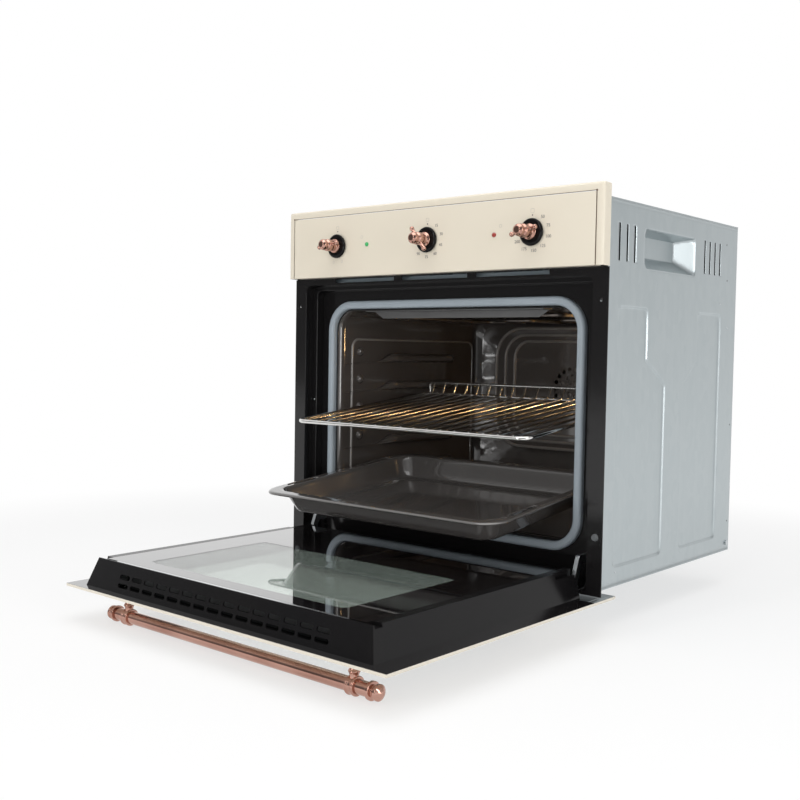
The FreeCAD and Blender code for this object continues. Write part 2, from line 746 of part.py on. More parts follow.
def heat_shield():
    """Folded plate under the front of the ceiling, its hanging edge cut slanting at both ends."""
    y0 = floor_back + SHIELD_SET_BACK
    half = half_cavity - SHIELD_SIDE
    sheet = CAVITY_SHEET
    flat = box(-half, half, floor_back + CAVITY_SHEET, y0, cavity_top - sheet, cavity_top)
    foot = half - SHIELD_SLANT
    low = cavity_top - SHIELD_DROP
    corners = [V(-half, y0, cavity_top), V(half, y0, cavity_top), V(foot, y0, low), V(-foot, y0, low)]
    return join([flat, prism(corners, V(0, -sheet, 0))])


def grill_element():
    """Tubular heater below the ceiling, led in through the rear wall."""
    z = cavity_top - GRILL_DROP
    lead = GRILL_LEADS / 2
    half = half_cavity - GRILL_SIDE
    near = floor_back + GRILL_FRONT
    far = fan_front() - HEATER_BEND
    fold = far - GRILL_FOLD
    rear = cavity_back + CAVITY_SHEET + HEATER_R
    points = [V(-lead, rear, z), V(-lead, fold, z), V(-half / 2, fold, z),
              V(-half / 2, far, z), V(-half, far, z), V(-half, near, z), V(half, near, z),
              V(half, far, z), V(half / 2, far, z), V(half / 2, fold, z),
              V(lead, fold, z), V(lead, rear, z)]
    return bent_rod(points, GRILL_BEND, HEATER_R)


def bottom_element():
    """Heater loop just under the muffle's floor."""
    z = cavity_bottom - CAVITY_SHEET - HEATER_R - SEAT_GAP
    half = half_cavity - BOTTOM_LOOP_INSET
    near = floor_back + BOTTOM_LOOP_INSET
    far = cavity_back - BOTTOM_LOOP_INSET
    lead = GRILL_LEADS / 2
    points = [V(-lead, far, z), V(-half, far, z), V(-half, near, z), V(half, near, z), V(half, far, z),
              V(lead, far, z)]
    return bent_rod(points, HEATER_BEND, HEATER_R)


def fan_front():
    """Front face of the fan cover's plate."""
    return cavity_back - FAN_COVER_DEPTH


def ring_block(side, rise, y0, y1):
    """Rounded rectangle inside the fan cover's outline, set in by one amount sideways and one up and down."""
    half = half_cavity - FAN_COVER_SIDE - side
    return round_block(-half, half, y0, y1, fan_low + rise, fan_high - rise, FAN_COVER_CORNER - rise,
                       V(0, 1, 0))


def fan_cover():
    """Ridged baffle with rings of intake holes, standing on the rear wall below the heater's leads."""
    sheet = FAN_COVER_SHEET
    front = fan_front()
    pan = ring_block(0, 0, front, cavity_back).cut(ring_block(sheet, sheet, front + sheet, cavity_back))
    ridges = []
    for index in range(RIDGES):
        side = RIDGE_MARGIN + index * RIDGE_SIDE_PITCH
        rise = RIDGE_MARGIN + index * RIDGE_RISE_PITCH
        ridges.append(ring_block(side, rise, front - RIDGE_PROUD, front).cut(
            ring_block(side + RIDGE_WIDTH, rise + RIDGE_WIDTH, front - RIDGE_PROUD, front)))
    holes = []
    for ring in range(1, FAN_INTAKE_RINGS + 1):
        radius = FAN_INTAKE_R * ring / FAN_INTAKE_RINGS
        count = FAN_RING_HOLES * ring
        for index in range(count):
            angle = 2 * math.pi * index / count
            place = V(radius * math.cos(angle), front, fan_z + radius * math.sin(angle))
            holes.append(rod(FAN_HOLE_R, place, place + V(0, sheet, 0)))
    return join([pan] + ridges).cut(holes)


def fan_rotor():
    """Bladed disc and its shaft through the rear wall."""
    disc_y = cavity_back - FAN_DISC - FAN_COVER_SHEET
    disc = rod(FAN_ROTOR_R, V(0, disc_y, fan_z), V(0, disc_y + FAN_DISC, fan_z))
    pieces = [disc]
    blade = box(FAN_ROTOR_R - FAN_BLADE_WIDTH, FAN_ROTOR_R - FAN_DISC, disc_y - FAN_BLADE_HEIGHT, disc_y,
                fan_z - FAN_DISC / 2, fan_z + FAN_DISC / 2)
    for index in range(FAN_BLADES):
        pieces.append(blade.rotated(V(0, 0, fan_z), V(0, 1, 0), 360 * index / FAN_BLADES))
    shaft_end = cavity_back + CAVITY_SHEET + MOTOR_LENGTH / 2
    pieces.append(rod(FAN_SHAFT_R, V(0, disc_y - FAN_BLADE_HEIGHT / 2, fan_z), V(0, shaft_end, fan_z)))
    return join(pieces)


def fan_motor():
    """Motor on the back of the muffle, bored for the fan's shaft."""
    y0 = cavity_back + CAVITY_SHEET
    body = rod(MOTOR_R, V(0, y0, fan_z), V(0, y0 + MOTOR_LENGTH, fan_z))
    return body.cut(rod(FAN_SHAFT_R + RUNNING_FIT, V(0, y0, fan_z),
                        V(0, y0 + MOTOR_LENGTH / 2 + RUNNING_FIT, fan_z)))


def insulation_jacket():
    """Blanket round the muffle, open at the front and round motor, lamp and heater leads."""
    along_y = V(0, 1, 0)
    sheet = CAVITY_SHEET + JACKET_GAP
    grow = sheet + JACKET_THICK
    below = cavity_bottom - CAVITY_SHEET - 2 * HEATER_R - 2 * SEAT_GAP
    y0 = floor_back + JACKET_FRONT
    outer = round_block(-half_cavity - grow, half_cavity + grow, y0, cavity_back + grow,
                        below - JACKET_THICK, cavity_top + grow, CAVITY_CORNER + grow, along_y)
    inner = round_block(-half_cavity - sheet, half_cavity + sheet, y0, cavity_back + sheet,
                        below, cavity_top + sheet, CAVITY_CORNER + sheet, along_y)
    motor = rod(MOTOR_R + JACKET_GAP, V(0, cavity_back, fan_z), V(0, cavity_back + grow, fan_z))
    lamp = lamp_place()
    light = rod(LAMP_HOLDER_R + JACKET_GAP, lamp, lamp + V(grow, 0, 0))
    leads = []
    for x in (-GRILL_LEADS / 2, GRILL_LEADS / 2):
        z = cavity_top - GRILL_DROP
        leads.append(rod(HEATER_R + JACKET_GAP, V(x, cavity_back, z), V(x, cavity_back + grow, z)))
    return outer.cut([inner, motor, light] + leads)


def door_seal():
    """Silicone tube laid as a rounded rectangle on the recess floor."""
    inner = half_cavity + SEAL_MARGIN
    outer = inner + SEAL_WIDTH
    low = cavity_bottom - SEAL_MARGIN
    high = cavity_top + SEAL_MARGIN
    along_y = V(0, 1, 0)
    y0 = floor_y - SEAL_HEIGHT
    ring = round_block(-outer, outer, y0, floor_y, low - SEAL_WIDTH, high + SEAL_WIDTH,
                       SEAL_CORNER + SEAL_WIDTH, along_y)
    ring = ring.cut(round_block(-inner, inner, y0, floor_y, low, high, SEAL_CORNER, along_y))
    edges = [edge for edge in ring.Edges if abs(edge.BoundBox.YMax - y0) < 1e-6]
    return ring.makeFillet(SEAL_ROUND, edges)


def hinge_bracket():
    """Right-hand receiver behind the recess floor with the arm that carries the door."""
    x0 = hinge_x - HINGE_ARM / 2
    rise = axis_z + HINGE_RISE
    knee = axis_y + HINGE_KNEE
    width = HINGE_EYE_R
    thick = V(HINGE_ARM, 0, 0)
    eye = rod(width, V(x0, axis_y, axis_z), V(x0 + HINGE_ARM, axis_y, axis_z))
    lean = math.atan2(HINGE_KNEE, HINGE_RISE)
    across = V(0, math.cos(lean), -math.sin(lean)) * width
    foot = V(x0, axis_y, axis_z)
    elbow = V(x0, knee, rise)
    climb = prism([foot - across, foot + across, elbow + across, elbow - across], thick)
    bend = rod(width, elbow, elbow + thick)
    tongue = box(x0, x0 + HINGE_ARM, knee, floor_back, rise - width, rise + width)
    receiver = box(hinge_x - HINGE_BOX_WIDTH / 2, hinge_x + HINGE_BOX_WIDTH / 2, floor_back,
                   floor_back + HINGE_BOX, rise - HINGE_BOX_HEIGHT / 2, rise + HINGE_BOX_HEIGHT / 2)
    bore = rod(HINGE_PIN_R + RUNNING_FIT, V(x0, axis_y, axis_z), V(x0 + HINGE_ARM, axis_y, axis_z))
    return join([eye, climb, bend, tongue, receiver]).cut(bore)


def door_hinge():
    """Right-hand hinge channel in the door with its pin, drawn with the door closed."""
    gap = HINGE_ARM / 2 + SEAT_GAP
    top = axis_z + HINGE_CHANNEL
    pieces = []
    for x0 in (hinge_x - gap - HINGE_CHEEK, hinge_x + gap):
        x1 = x0 + HINGE_CHEEK
        pieces.append(rod(HINGE_EYE_R, V(x0, axis_y, axis_z), V(x1, axis_y, axis_z)))
        pieces.append(box(x0, x1, axis_y - HINGE_EYE_R, axis_y + HINGE_EYE_R, axis_z, top))
    left = hinge_x - gap - HINGE_CHEEK
    right = hinge_x + gap + HINGE_CHEEK
    pieces.append(box(left, right, body_front + BODY_WALL, axis_y - HINGE_EYE_R + BODY_WALL,
                      body_bottom + HINGE_EYE_R * 2, top))
    pieces.append(rod(HINGE_PIN_R, V(left, axis_y, axis_z), V(right, axis_y, axis_z)))
    return join(pieces)


def taper(y):
    """How far the door body has drawn in at one depth behind its outer pane."""
    return BODY_TAPER * (y - body_front) / (body_rear - body_front)


def door_side():
    """Right-hand door profile: hollow, tapered, with ledge and groove for the panes."""
    low = body_bottom
    high = body_top - RAIL_HEIGHT
    inner = pane_half - GLASS_LEDGE
    section = [(inner, body_front), (body_half, body_front), (body_half - BODY_TAPER, body_rear),
               (pane_half + GLASS_PLAY, body_rear), (pane_half + GLASS_PLAY, pane_seat), (inner, pane_seat)]
    profile = prism([V(x, y, low) for x, y in section], V(0, 0, high - low))
    duct = HINGE_ARM / 2 + SEAT_GAP + HINGE_CHEEK + GLASS_PLAY
    hollow = box(hinge_x - duct, hinge_x + duct, body_front + BODY_WALL, axis_y + HINGE_EYE_R + GLASS_PLAY,
                 low, high)
    groove_y = front_y + MIDDLE_GLASS_DEPTH
    groove = box(inner, inner + GLASS_GROOVE, groove_y - GLASS_PLAY, groove_y + MIDDLE_GLASS + GLASS_PLAY,
                 low, high)
    reach = HINGE_RISE + 2 * HINGE_EYE_R
    slot = box(hinge_x - HINGE_ARM / 2 - SEAT_GAP, hinge_x + HINGE_ARM / 2 + SEAT_GAP,
               axis_y - HINGE_EYE_R, body_rear, low, axis_z + reach)
    return profile.cut([hollow, groove, slot])


def door_top_rail():
    """Upper door rail: hollow, tapered, with two rows of vent slots in its end."""
    low = body_top - RAIL_HEIGHT
    wall = BODY_WALL
    edge = body_top - BODY_TAPER
    section = [(body_front, low), (body_front, body_top), (body_rear, edge), (body_rear, edge - RAIL_LIP),
               (pane_seat, edge - RAIL_LIP), (pane_seat, low)]
    solid = prism([V(-body_half, y, z) for y, z in section], V(2 * body_half, 0, 0))
    near = body_front + wall
    far = pane_seat - wall
    hollow = [(near, low), (near, body_top - taper(near) - wall), (far, body_top - taper(far) - wall),
              (far, low)]
    half = body_half - BODY_TAPER - wall
    cuts = [prism([V(-half, y, z) for y, z in hollow], V(2 * half, 0, 0))]
    for side in (-1, 1):
        corner = [V(side * body_half, body_front, low), V(side * body_half, body_rear, low),
                  V(side * (body_half - BODY_TAPER), body_rear, low)]
        cuts.append(prism(corner, V(0, 0, RAIL_HEIGHT)))
    pitch = 2 * (body_half - RAIL_END) / RAIL_SLOTS
    half_long = RAIL_SLOT_LENGTH / 2
    half_wide = RAIL_SLOT_WIDTH / 2
    for row in (-1, 1):
        y = body_front + RAIL_ROW_DEPTH + row * RAIL_ROW_GAP / 2
        for index in range(RAIL_SLOTS):
            x = (index - (RAIL_SLOTS - 1) / 2) * pitch
            cuts.append(round_block(x - half_long, x + half_long, y - half_wide, y + half_wide,
                                    edge - wall, body_top, RAIL_SLOT_WIDTH * SLOT_END, V(0, 0, 1)))
    return solid.cut(cuts)


def door_bottom_rail():
    """Lower door rail between the side profiles."""
    half = pane_half - GLASS_LEDGE
    high = body_bottom + RAIL_HEIGHT
    wall = BODY_WALL
    edge = body_bottom + BODY_TAPER
    section = [(body_front, body_bottom), (body_rear, edge), (body_rear, edge + RAIL_LIP),
               (pane_seat, edge + RAIL_LIP), (pane_seat, high), (body_front, high)]
    near = body_front + wall
    far = pane_seat - wall
    hollow = [(near, body_bottom + taper(near) + wall), (far, body_bottom + taper(far) + wall), (far, high),
              (near, high)]
    solid = prism([V(-half, y, z) for y, z in section], V(2 * half, 0, 0))
    return solid.cut(prism([V(wall - half, y, z) for y, z in hollow], V(2 * (half - wall), 0, 0)))


def door_outer_panel():
    """Full-width outer pane."""
    return box(-half_front, half_front, front_y, body_front, door_bottom, door_top)


def door_middle_glass():
    """Middle pane held in the side profiles' grooves."""
    half = pane_half - GLASS_LEDGE + GLASS_GROOVE - GLASS_PLAY
    y0 = front_y + MIDDLE_GLASS_DEPTH
    return box(-half, half, y0, y0 + MIDDLE_GLASS, body_bottom + RAIL_HEIGHT + GLASS_PLAY,
               body_top - RAIL_HEIGHT - GLASS_PLAY)


def door_inner_glass():
    """Inner pane on the ledges of the profiles and rails."""
    return box(-pane_half, pane_half, pane_seat, body_rear, pane_low, pane_high)


def door_glass_strip():
    """Bright strip between the inner pane and the upper rail."""
    low = pane_high + GLASS_PLAY
    half = pane_half - STRIP_INSET
    return box(-half, half, pane_seat, body_rear, low, low + STRIP_WIDTH)


def handle_bar():
    """Copper tube along the top of the door."""
    start = V(-handle_half, handle_y, handle_z)
    end = V(handle_half, handle_y, handle_z)
    return rod(HANDLE_R, start, end).cut(rod(HANDLE_R - HANDLE_WALL, start, end))


def handle_post():
    """Right-hand turned post with the ring that clasps the tube."""
    x = handle_half - POST_INSET
    profile = [(0, 0), (0, POST_FOOT_R), (POST_FOOT, POST_FOOT_R)]
    profile += [(HANDLE_STANDOFF * reach, POST_R * width) for reach, width in POST_PROFILE]
    post = turned(profile, V(x, front_y, handle_z), V(0, -1, 0))
    half = POST_RING_LENGTH / 2
    ring = rod(POST_RING_R, V(x - half, handle_y, handle_z), V(x + half, handle_y, handle_z))
    bore = rod(HANDLE_R + RUNNING_FIT, V(0, handle_y, handle_z), V(handle_half, handle_y, handle_z))
    return join([post, ring]).cut(bore)


def handle_end():
    """Right-hand turned finial with a spigot in the tube."""
    spigot_r = HANDLE_R - HANDLE_WALL - RUNNING_FIT
    profile = [(-FINIAL_SPIGOT, 0), (-FINIAL_SPIGOT, spigot_r), (0, spigot_r)]
    profile += [(FINIAL_LENGTH * reach, HANDLE_R * width) for reach, width in FINIAL_PROFILE]
    return turned(profile, V(handle_half, handle_y, handle_z), X_AXIS)


def knob_pieces(name, x):
    """Turned grip with a cross lever, black skirt and shaft of one control."""
    outward = V(0, -1, 0)
    skirt_back = front_y - SKIRT_LIFT
    skirt_face = skirt_back - SKIRT_THICK
    bore_r = SHAFT_R + RUNNING_FIT
    skirt = turned([(0, bore_r), (0, SKIRT_R), (SKIRT_EDGE, SKIRT_R),
                    (SKIRT_THICK, SKIRT_R - SKIRT_CHAMFER), (SKIRT_THICK, bore_r)],
                   V(x, skirt_back, knob_z), outward)
    profile = [(GRIP_LENGTH * reach, GRIP_R * width) for reach, width in GRIP_PROFILE]
    grip = turned(profile, V(x, skirt_face, knob_z), outward)
    middle = V(x, skirt_face - LEVER_HEIGHT, knob_z)
    angle = math.radians(LEVER_ANGLES[name])
    along = V(math.cos(angle), 0, math.sin(angle))
    lever = rod(LEVER_R, middle - along * LEVER_SPAN, middle + along * LEVER_SPAN)
    ends = [Part.makeSphere(LEVER_BALL_R, middle + along * (side * LEVER_SPAN), along) for side in (-1, 1)]
    socket = rod(bore_r, V(x, skirt_face, knob_z), V(x, skirt_face - GRIP_SOCKET, knob_z))
    shaft = rod(SHAFT_R, V(x, skirt_face - GRIP_SOCKET, knob_z), V(x, SWITCH_DEPTH / 2, knob_z))
    return {"knob_" + name: join([grip, lever] + ends).cut(socket),
            "knob_" + name + "_skirt": skirt,
            "knob_" + name + "_shaft": shaft}


def switch_body(x, round_body):
    """Switch behind the frame's backing plate, bored for its shaft."""
    if round_body:
        body = rod(SWITCH_HALF, V(x, 0, knob_z), V(x, SWITCH_DEPTH, knob_z))
    else:
        body = box(x - SWITCH_HALF, x + SWITCH_HALF, 0, SWITCH_DEPTH, knob_z - SWITCH_HALF,
                   knob_z + SWITCH_HALF)
    return body.cut(rod(SHAFT_R + RUNNING_FIT, V(x, 0, knob_z), V(x, SWITCH_DEPTH / 2 + RUNNING_FIT, knob_z)))


def indicator(x):
    """Lamp lens with its stem through the fascia."""
    profile = [(-INDICATOR_STEM, 0), (-INDICATOR_STEM, INDICATOR_STEM_R), (0, INDICATOR_STEM_R),
               (0, INDICATOR_R), (INDICATOR_EDGE, INDICATOR_R), (INDICATOR_PROUD, INDICATOR_CROWN_R),
               (INDICATOR_PROUD, 0)]
    return turned(profile, V(x, front_y, knob_z), V(0, -1, 0))


def door_buffers():
    """Soft stops on both sides of the flange."""
    solids = []
    for side in (-1, 1):
        place = V(side * (half_front - FIXING_INSET), flange_y, BUFFER_HEIGHT)
        solids.append(turned([(0, 0), (0, BUFFER_R), (BUFFER_PROUD, BUFFER_TIP_R), (BUFFER_PROUD, 0)],
                             place, V(0, -1, 0)))
    return Part.makeCompound(solids)


def side_screw_places():
    """Screw centres low on the right casing side."""
    z = SCREW_INSET + CASING_SHEET
    return [V(half_casing, y, z) for y in (SCREW_INSET * 2, CASING_DEPTH - SCREW_INSET)]


def wire_rack():
    """Chrome rack: bent frame, rear fence and long wires that rise to the fence."""
    half = half_cavity - RACK_SIDE_GAP - RACK_ROD_R
    z = runner_top(RACK_LEVEL) + SEAT_GAP + RACK_ROD_R
    near = floor_back + RACK_STORED + RACK_ROD_R
    far = cavity_back - RACK_REAR_CLEAR - RACK_ROD_R
    corners = ((0, near), (half, near), (half, far), (-half, far), (-half, near), (0, near))
    loop = [V(x, y, z) for x, y in corners]
    pieces = [bent_rod(loop, RACK_CORNER, RACK_ROD_R)]
    fence = half - RACK_FENCE_INSET
    top = z + RACK_FENCE
    hoop = [V(-fence, far, z), V(-fence, far, top), V(fence, far, top), V(fence, far, z)]
    pieces.append(bent_rod(hoop, RACK_FENCE_BEND, RACK_FENCE_R))
    wire_z = z + RACK_WIRE_LIFT
    for index in range(RACK_WIRES):
        x = (index / (RACK_WIRES - 1) - 0.5) * 2 * (half - RACK_WIRE_INSET)
        run = [V(x, near, wire_z), V(x, far - RACK_FENCE_RUN, wire_z), V(x, far, top)]
        pieces.append(bent_rod(run, RACK_WIRE_BEND, RACK_WIRE_R))
    return join(pieces)


def outline_wire(half, near, far, z, corner):
    """Rounded rectangle of the tray at one height."""
    block = round_block(-half, half, near, far, z, z + 1, corner, V(0, 0, 1))
    return min(block.Faces, key=lambda one: one.CenterOfMass.z).OuterWire


def baking_tray():
    """Enamelled tray with sloping walls and slotted side rims."""
    half = half_cavity - TRAY_SIDE_GAP
    near = floor_back + TRAY_STORED
    far = cavity_back - TRAY_REAR_CLEAR
    under = runner_top(TRAY_LEVEL) + SEAT_GAP
    top = under + TRAY_SHEET
    rim = round_block(-half, half, near, far, under, top, TRAY_CORNER, V(0, 0, 1))

    def well(extra, depth):
        """Sloping block from the rim's inside edge down to the tray's floor."""
        mouth = TRAY_RIM - extra
        foot = TRAY_RIM + TRAY_WALL_SLOPE - extra
        upper = outline_wire(half - mouth, near + mouth, far - mouth, top, TRAY_CORNER)
        lower = outline_wire(half - foot, near + foot, far - foot, top - depth, TRAY_CORNER)
        return Part.makeLoft([lower, upper], True, True)

    dish = join([rim, well(TRAY_SHEET, TRAY_DROP)]).cut(well(0, TRAY_DROP - TRAY_SHEET))
    slots = []
    for side in (-1, 1):
        x = side * (half - TRAY_RIM / 2)
        for y in (near + TRAY_SLOT_INSET, far - TRAY_SLOT_INSET - TRAY_SLOT_LENGTH):
            half_wide = TRAY_SLOT_WIDTH / 2
            slots.append(round_block(x - half_wide, x + half_wide, y, y + TRAY_SLOT_LENGTH, under, top,
                                     TRAY_SLOT_WIDTH * SLOT_END, V(0, 0, 1)))
    return dish.cut(slots)


def build():
    """Every piece of the oven by name."""
    parts = {
        "front_frame": front_frame(),
        "air_duct": air_duct(),
        "panel_surround": panel_surround(),
        "panel_fascia": panel_fascia(),
        "top_cover": flat_cover(CASING_HEIGHT - CASING_SHEET),
        "base_plate": flat_cover(0),
        "rear_cover": rear_cover(),
        "cavity": cavity(),
        "fan_cover": fan_cover(),
        "fan_motor": fan_motor(),
        "fan_rotor": fan_rotor(),
        "grill_element": grill_element(),
        "bottom_element": bottom_element(),
        "heat_shield": heat_shield(),
        "lamp_holder": lamp_holder(),
        "lamp_glass": lamp_glass(),
        "insulation_jacket": insulation_jacket(),
        "door_seal": door_seal(),
        "selector_switch": switch_body(-knob_x, False),
        "timer_unit": switch_body(0, True),
        "thermostat_unit": switch_body(knob_x, False),
        "indicator_green": indicator(-lamp_x),
        "indicator_red": indicator(lamp_x),
        "terminal_box": terminal_box(),
        "cable_gland": cable_gland(),
        "door_buffers": door_buffers(),
        "wire_rack": drawn_out(wire_rack(), RACK_LEVEL, RACK_TILT, RACK_TRAVEL),
        "baking_tray": drawn_out(baking_tray(), TRAY_LEVEL, TRAY_TILT, TRAY_TRAVEL),
        "door_outer_panel": opened(door_outer_panel()),
        "door_middle_glass": opened(door_middle_glass()),
        "door_inner_glass": opened(door_inner_glass()),
        "door_glass_strip": opened(door_glass_strip()),
        "door_top_rail": opened(door_top_rail()),
        "door_bottom_rail": opened(door_bottom_rail()),
        "handle_bar": opened(handle_bar()),
    }
    pairs = {"side_panel": side_panel(), "shelf_runners": shelf_runners(), "hinge_bracket": hinge_bracket(),
             "door_hinge": opened(door_hinge()), "door_side": opened(door_side()),
             "handle_post": opened(handle_post()), "handle_end": opened(handle_end())}
    for name, shape in pairs.items():
        parts[name + "_right"] = shape
        solids = [mirrored(solid) for solid in shape.Solids]
        parts[name + "_left"] = Part.makeCompound(solids) if len(solids) > 1 else solids[0]
    for name, x in (("function", -knob_x), ("timer", 0), ("heat", knob_x)):
        parts.update(knob_pieces(name, x))
    rear = [V(x, CASING_DEPTH, z) for x, z in rear_screw_places()]
    parts["rear_screws"] = screws(rear, V(0, 1, 0))
    side = screws(side_screw_places(), X_AXIS)
    parts["side_screws"] = Part.makeCompound(side.Solids + mirrored(side).Solids)
    return parts


os.makedirs("parts", exist_ok=True)
for node, shape in build().items():
    shape.exportStep("parts/" + node + ".step")
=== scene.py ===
import json
import math
import bmesh
import bpy
import numpy as np
from mathutils import Matrix, Vector


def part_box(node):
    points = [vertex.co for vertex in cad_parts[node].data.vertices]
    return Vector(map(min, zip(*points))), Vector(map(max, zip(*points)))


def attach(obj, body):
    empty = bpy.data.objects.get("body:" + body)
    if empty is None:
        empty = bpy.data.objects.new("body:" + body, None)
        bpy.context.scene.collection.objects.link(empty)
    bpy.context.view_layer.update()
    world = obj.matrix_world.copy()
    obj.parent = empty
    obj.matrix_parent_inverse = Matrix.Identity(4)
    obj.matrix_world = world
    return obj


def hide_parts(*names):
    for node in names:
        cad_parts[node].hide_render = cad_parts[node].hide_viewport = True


# Built-in oven with its door let down: finishes, pressed sheet, turned fittings, camera and light.
# Pieces are measured in millimetres, which MM turns into metres; finishes and the stage are in metres.
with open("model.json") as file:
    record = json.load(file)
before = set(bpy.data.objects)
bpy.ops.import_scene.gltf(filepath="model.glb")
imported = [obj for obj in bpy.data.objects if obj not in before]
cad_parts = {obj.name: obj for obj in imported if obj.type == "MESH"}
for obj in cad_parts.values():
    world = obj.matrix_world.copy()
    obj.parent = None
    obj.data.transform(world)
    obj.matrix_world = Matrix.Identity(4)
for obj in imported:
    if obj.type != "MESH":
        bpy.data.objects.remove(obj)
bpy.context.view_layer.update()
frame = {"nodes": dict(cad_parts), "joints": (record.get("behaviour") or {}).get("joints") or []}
NODES = frame["nodes"]
JOINTS = {joint["name"]: joint for joint in frame["joints"]}
MM = 0.001
SIDES = (-1, 1)


# Shading: a socket that works as a number, and a finish that holds one material

class Value:
    """A shader socket; each arithmetic operation on it adds one Math node."""

    def __init__(self, finish, socket):
        self.finish, self.socket = finish, socket

    def math(self, operation, first, second=0.0):
        return self.finish.node("ShaderNodeMath", {"operation": operation}, [first, second])

    def __add__(self, other):
        return self.math("ADD", self, other)

    def __sub__(self, other):
        return self.math("SUBTRACT", self, other)

    def __rsub__(self, other):
        return self.math("SUBTRACT", other, self)

    def __mul__(self, other):
        return self.math("MULTIPLY", self, other)

    def __abs__(self):
        return self.math("ABSOLUTE", self)

    __radd__, __rmul__ = __add__, __mul__

    def higher(self, other):
        return self.math("MAXIMUM", self, other)

    def rise(self, low, high):
        """0 below low, 1 above high, eased between them."""
        return self.finish.node("ShaderNodeMapRange", {"interpolation_type": "SMOOTHSTEP"},
                                {"Value": self, "From Min": low, "From Max": high})


class Finish:
    """One material: constants on its shader's own sockets, nodes for what changes over the surface."""

    def __init__(self, name, **constants):
        self.material = bpy.data.materials.new(name)
        self.material.use_nodes = True
        self.tree = self.material.node_tree
        self.shader = self.tree.nodes["Principled BSDF"]
        for key, value in constants.items():
            self.feed(key.replace("_", " "), value)

    def put(self, made, key, value):
        if isinstance(value, Value):
            self.tree.links.new(value.socket, made.inputs[key])
        else:
            made.inputs[key].default_value = value

    def node(self, kind, settings, inputs, out=0):
        """Any node: its settings first, then the values or links of its sockets."""
        made = self.tree.nodes.new(kind)
        for key, value in settings.items():
            setattr(made, key, value)
        for key, value in inputs.items() if isinstance(inputs, dict) else enumerate(inputs):
            self.put(made, key, value)
        return Value(self, made.outputs[out])

    def feed(self, key, value):
        """Sets or links one socket of the finish's own shader."""
        if isinstance(value, tuple):
            value = (*value, 1.0)
        self.put(self.shader, key, value)

    def here(self):
        """Object coordinates in metres."""
        return self.node("ShaderNodeTexCoord", {}, [], 3)

    def place(self, stretch):
        """Object coordinates scaled along each axis."""
        return self.node("ShaderNodeMapping", {}, {"Vector": self.here(), "Scale": stretch})

    def axes(self):
        """The three Object coordinates as numbers."""
        split = self.node("ShaderNodeSeparateXYZ", {}, [self.here()])
        return [Value(self, split.socket.node.outputs[i]) for i in range(3)]

    def noise(self, scale, stretch=(1, 1, 1), detail=2.0):
        return self.node("ShaderNodeTexNoise", {}, {"Vector": self.place(stretch), "Scale": scale,
                                                    "Detail": detail})

    def cells(self, scale, stretch=(1, 1, 1), out=0):
        return self.node("ShaderNodeTexVoronoi", {}, {"Vector": self.place(stretch), "Scale": scale}, out)

    def blend(self, share, first, second):
        """Colour between two: share 0 gives the first, 1 the second."""
        inputs = {0: share}
        for key, colour in ((6, first), (7, second)):
            inputs[key] = (*colour, 1.0) if isinstance(colour, tuple) else colour
        return self.node("ShaderNodeMix", {"data_type": "RGBA"}, inputs, 2)

    def bump(self, height, depth):
        """Relief of a given depth in metres where height goes from 0 to 1."""
        return self.node("ShaderNodeBump", {}, {"Height": height, "Strength": 1.0, "Distance": depth})

    def relief(self, height, depth):
        self.feed("Normal", self.bump(height, depth))

    def path(self, *kinds):
        """1 for rays of any of the named kinds, 0 for the others."""
        found = 0.0
        rays = self.node("ShaderNodeLightPath", {}, []).socket.node
        for kind in kinds:
            found = Value(self, rays.outputs[f"Is {kind} Ray"]).higher(found)
        return found

    def cover(self, share, under, over):
        """The surface is under where share is 0 and over where it is 1."""
        both = self.node("ShaderNodeMixShader", {}, [share, under, over])
        self.put(self.tree.nodes["Material Output"], "Surface", both)


# Noise cells per metre: clouds, specks and smudges of enamel, stains of metal, tone of plastic, smears of glass
CLOUD, SPECK, SMUDGE, STAIN, TONE, SMEAR = 9, 900, 60, 14, 25, 18


def enamel(name, colour, shade, gloss, peel=0.00006, ripple=40, coat=0.0, speck=0.25, index=1.52):
    """Fired enamel: two close tones in slow clouds, fine specks, a wavy gloss and a faint orange peel."""
    made = Finish(name, IOR=index, Coat_Weight=coat, Coat_Roughness=0.06)
    tone = made.blend(made.noise(CLOUD, detail=4), colour, shade)
    specks = made.cells(SPECK).rise(0.10, 0.20)
    made.feed("Base Color", made.blend((1 - specks) * speck, tone, shade))
    made.feed("Roughness", gloss + made.noise(SMUDGE, detail=3) * gloss * 0.5)
    fine = ripple * 14
    made.relief(made.noise(ripple, detail=1) + made.noise(fine, detail=1) * 0.12, peel)
    return made.material


def bare_metal(name, colour, shade, gloss, stretch=(1, 1, 1), scratch=0.00001, scale=180):
    """Bare metal: long drawing marks in its tone, gloss and relief, with slow stains over them."""
    made = Finish(name, Metallic=1.0)
    marks = made.noise(scale, stretch, 3)
    stain = made.noise(STAIN, detail=4).rise(0.35, 0.75)
    made.feed("Base Color", made.blend(marks * 0.5 + stain * 0.5, colour, shade))
    made.feed("Roughness", gloss * 0.7 + marks * gloss * 0.6 + stain * gloss * 0.3)
    made.relief(marks, scratch)
    return made.material


def galvanised_sheet():
    """Zinc-coated sheet: soft spangle cells, faint upright rolling streaks and dull patches."""
    made = Finish("galvanised_sheet", Metallic=1.0)
    spangle = made.node("ShaderNodeSeparateColor", {}, [made.cells(85, (1, 1, 0.6), 1)])
    streak = made.noise(120, (1, 1, 0.03), 3)
    patch = made.noise(6, detail=3)
    mix = spangle * 0.3 + streak * 0.4 + patch * 0.3
    made.feed("Base Color", made.blend(mix, (0.430, 0.480, 0.496), (0.525, 0.568, 0.580)))
    made.feed("Roughness", 0.29 + mix * 0.12)
    made.relief(spangle * 0.3 + streak * 0.7, 0.00003)
    return made.material


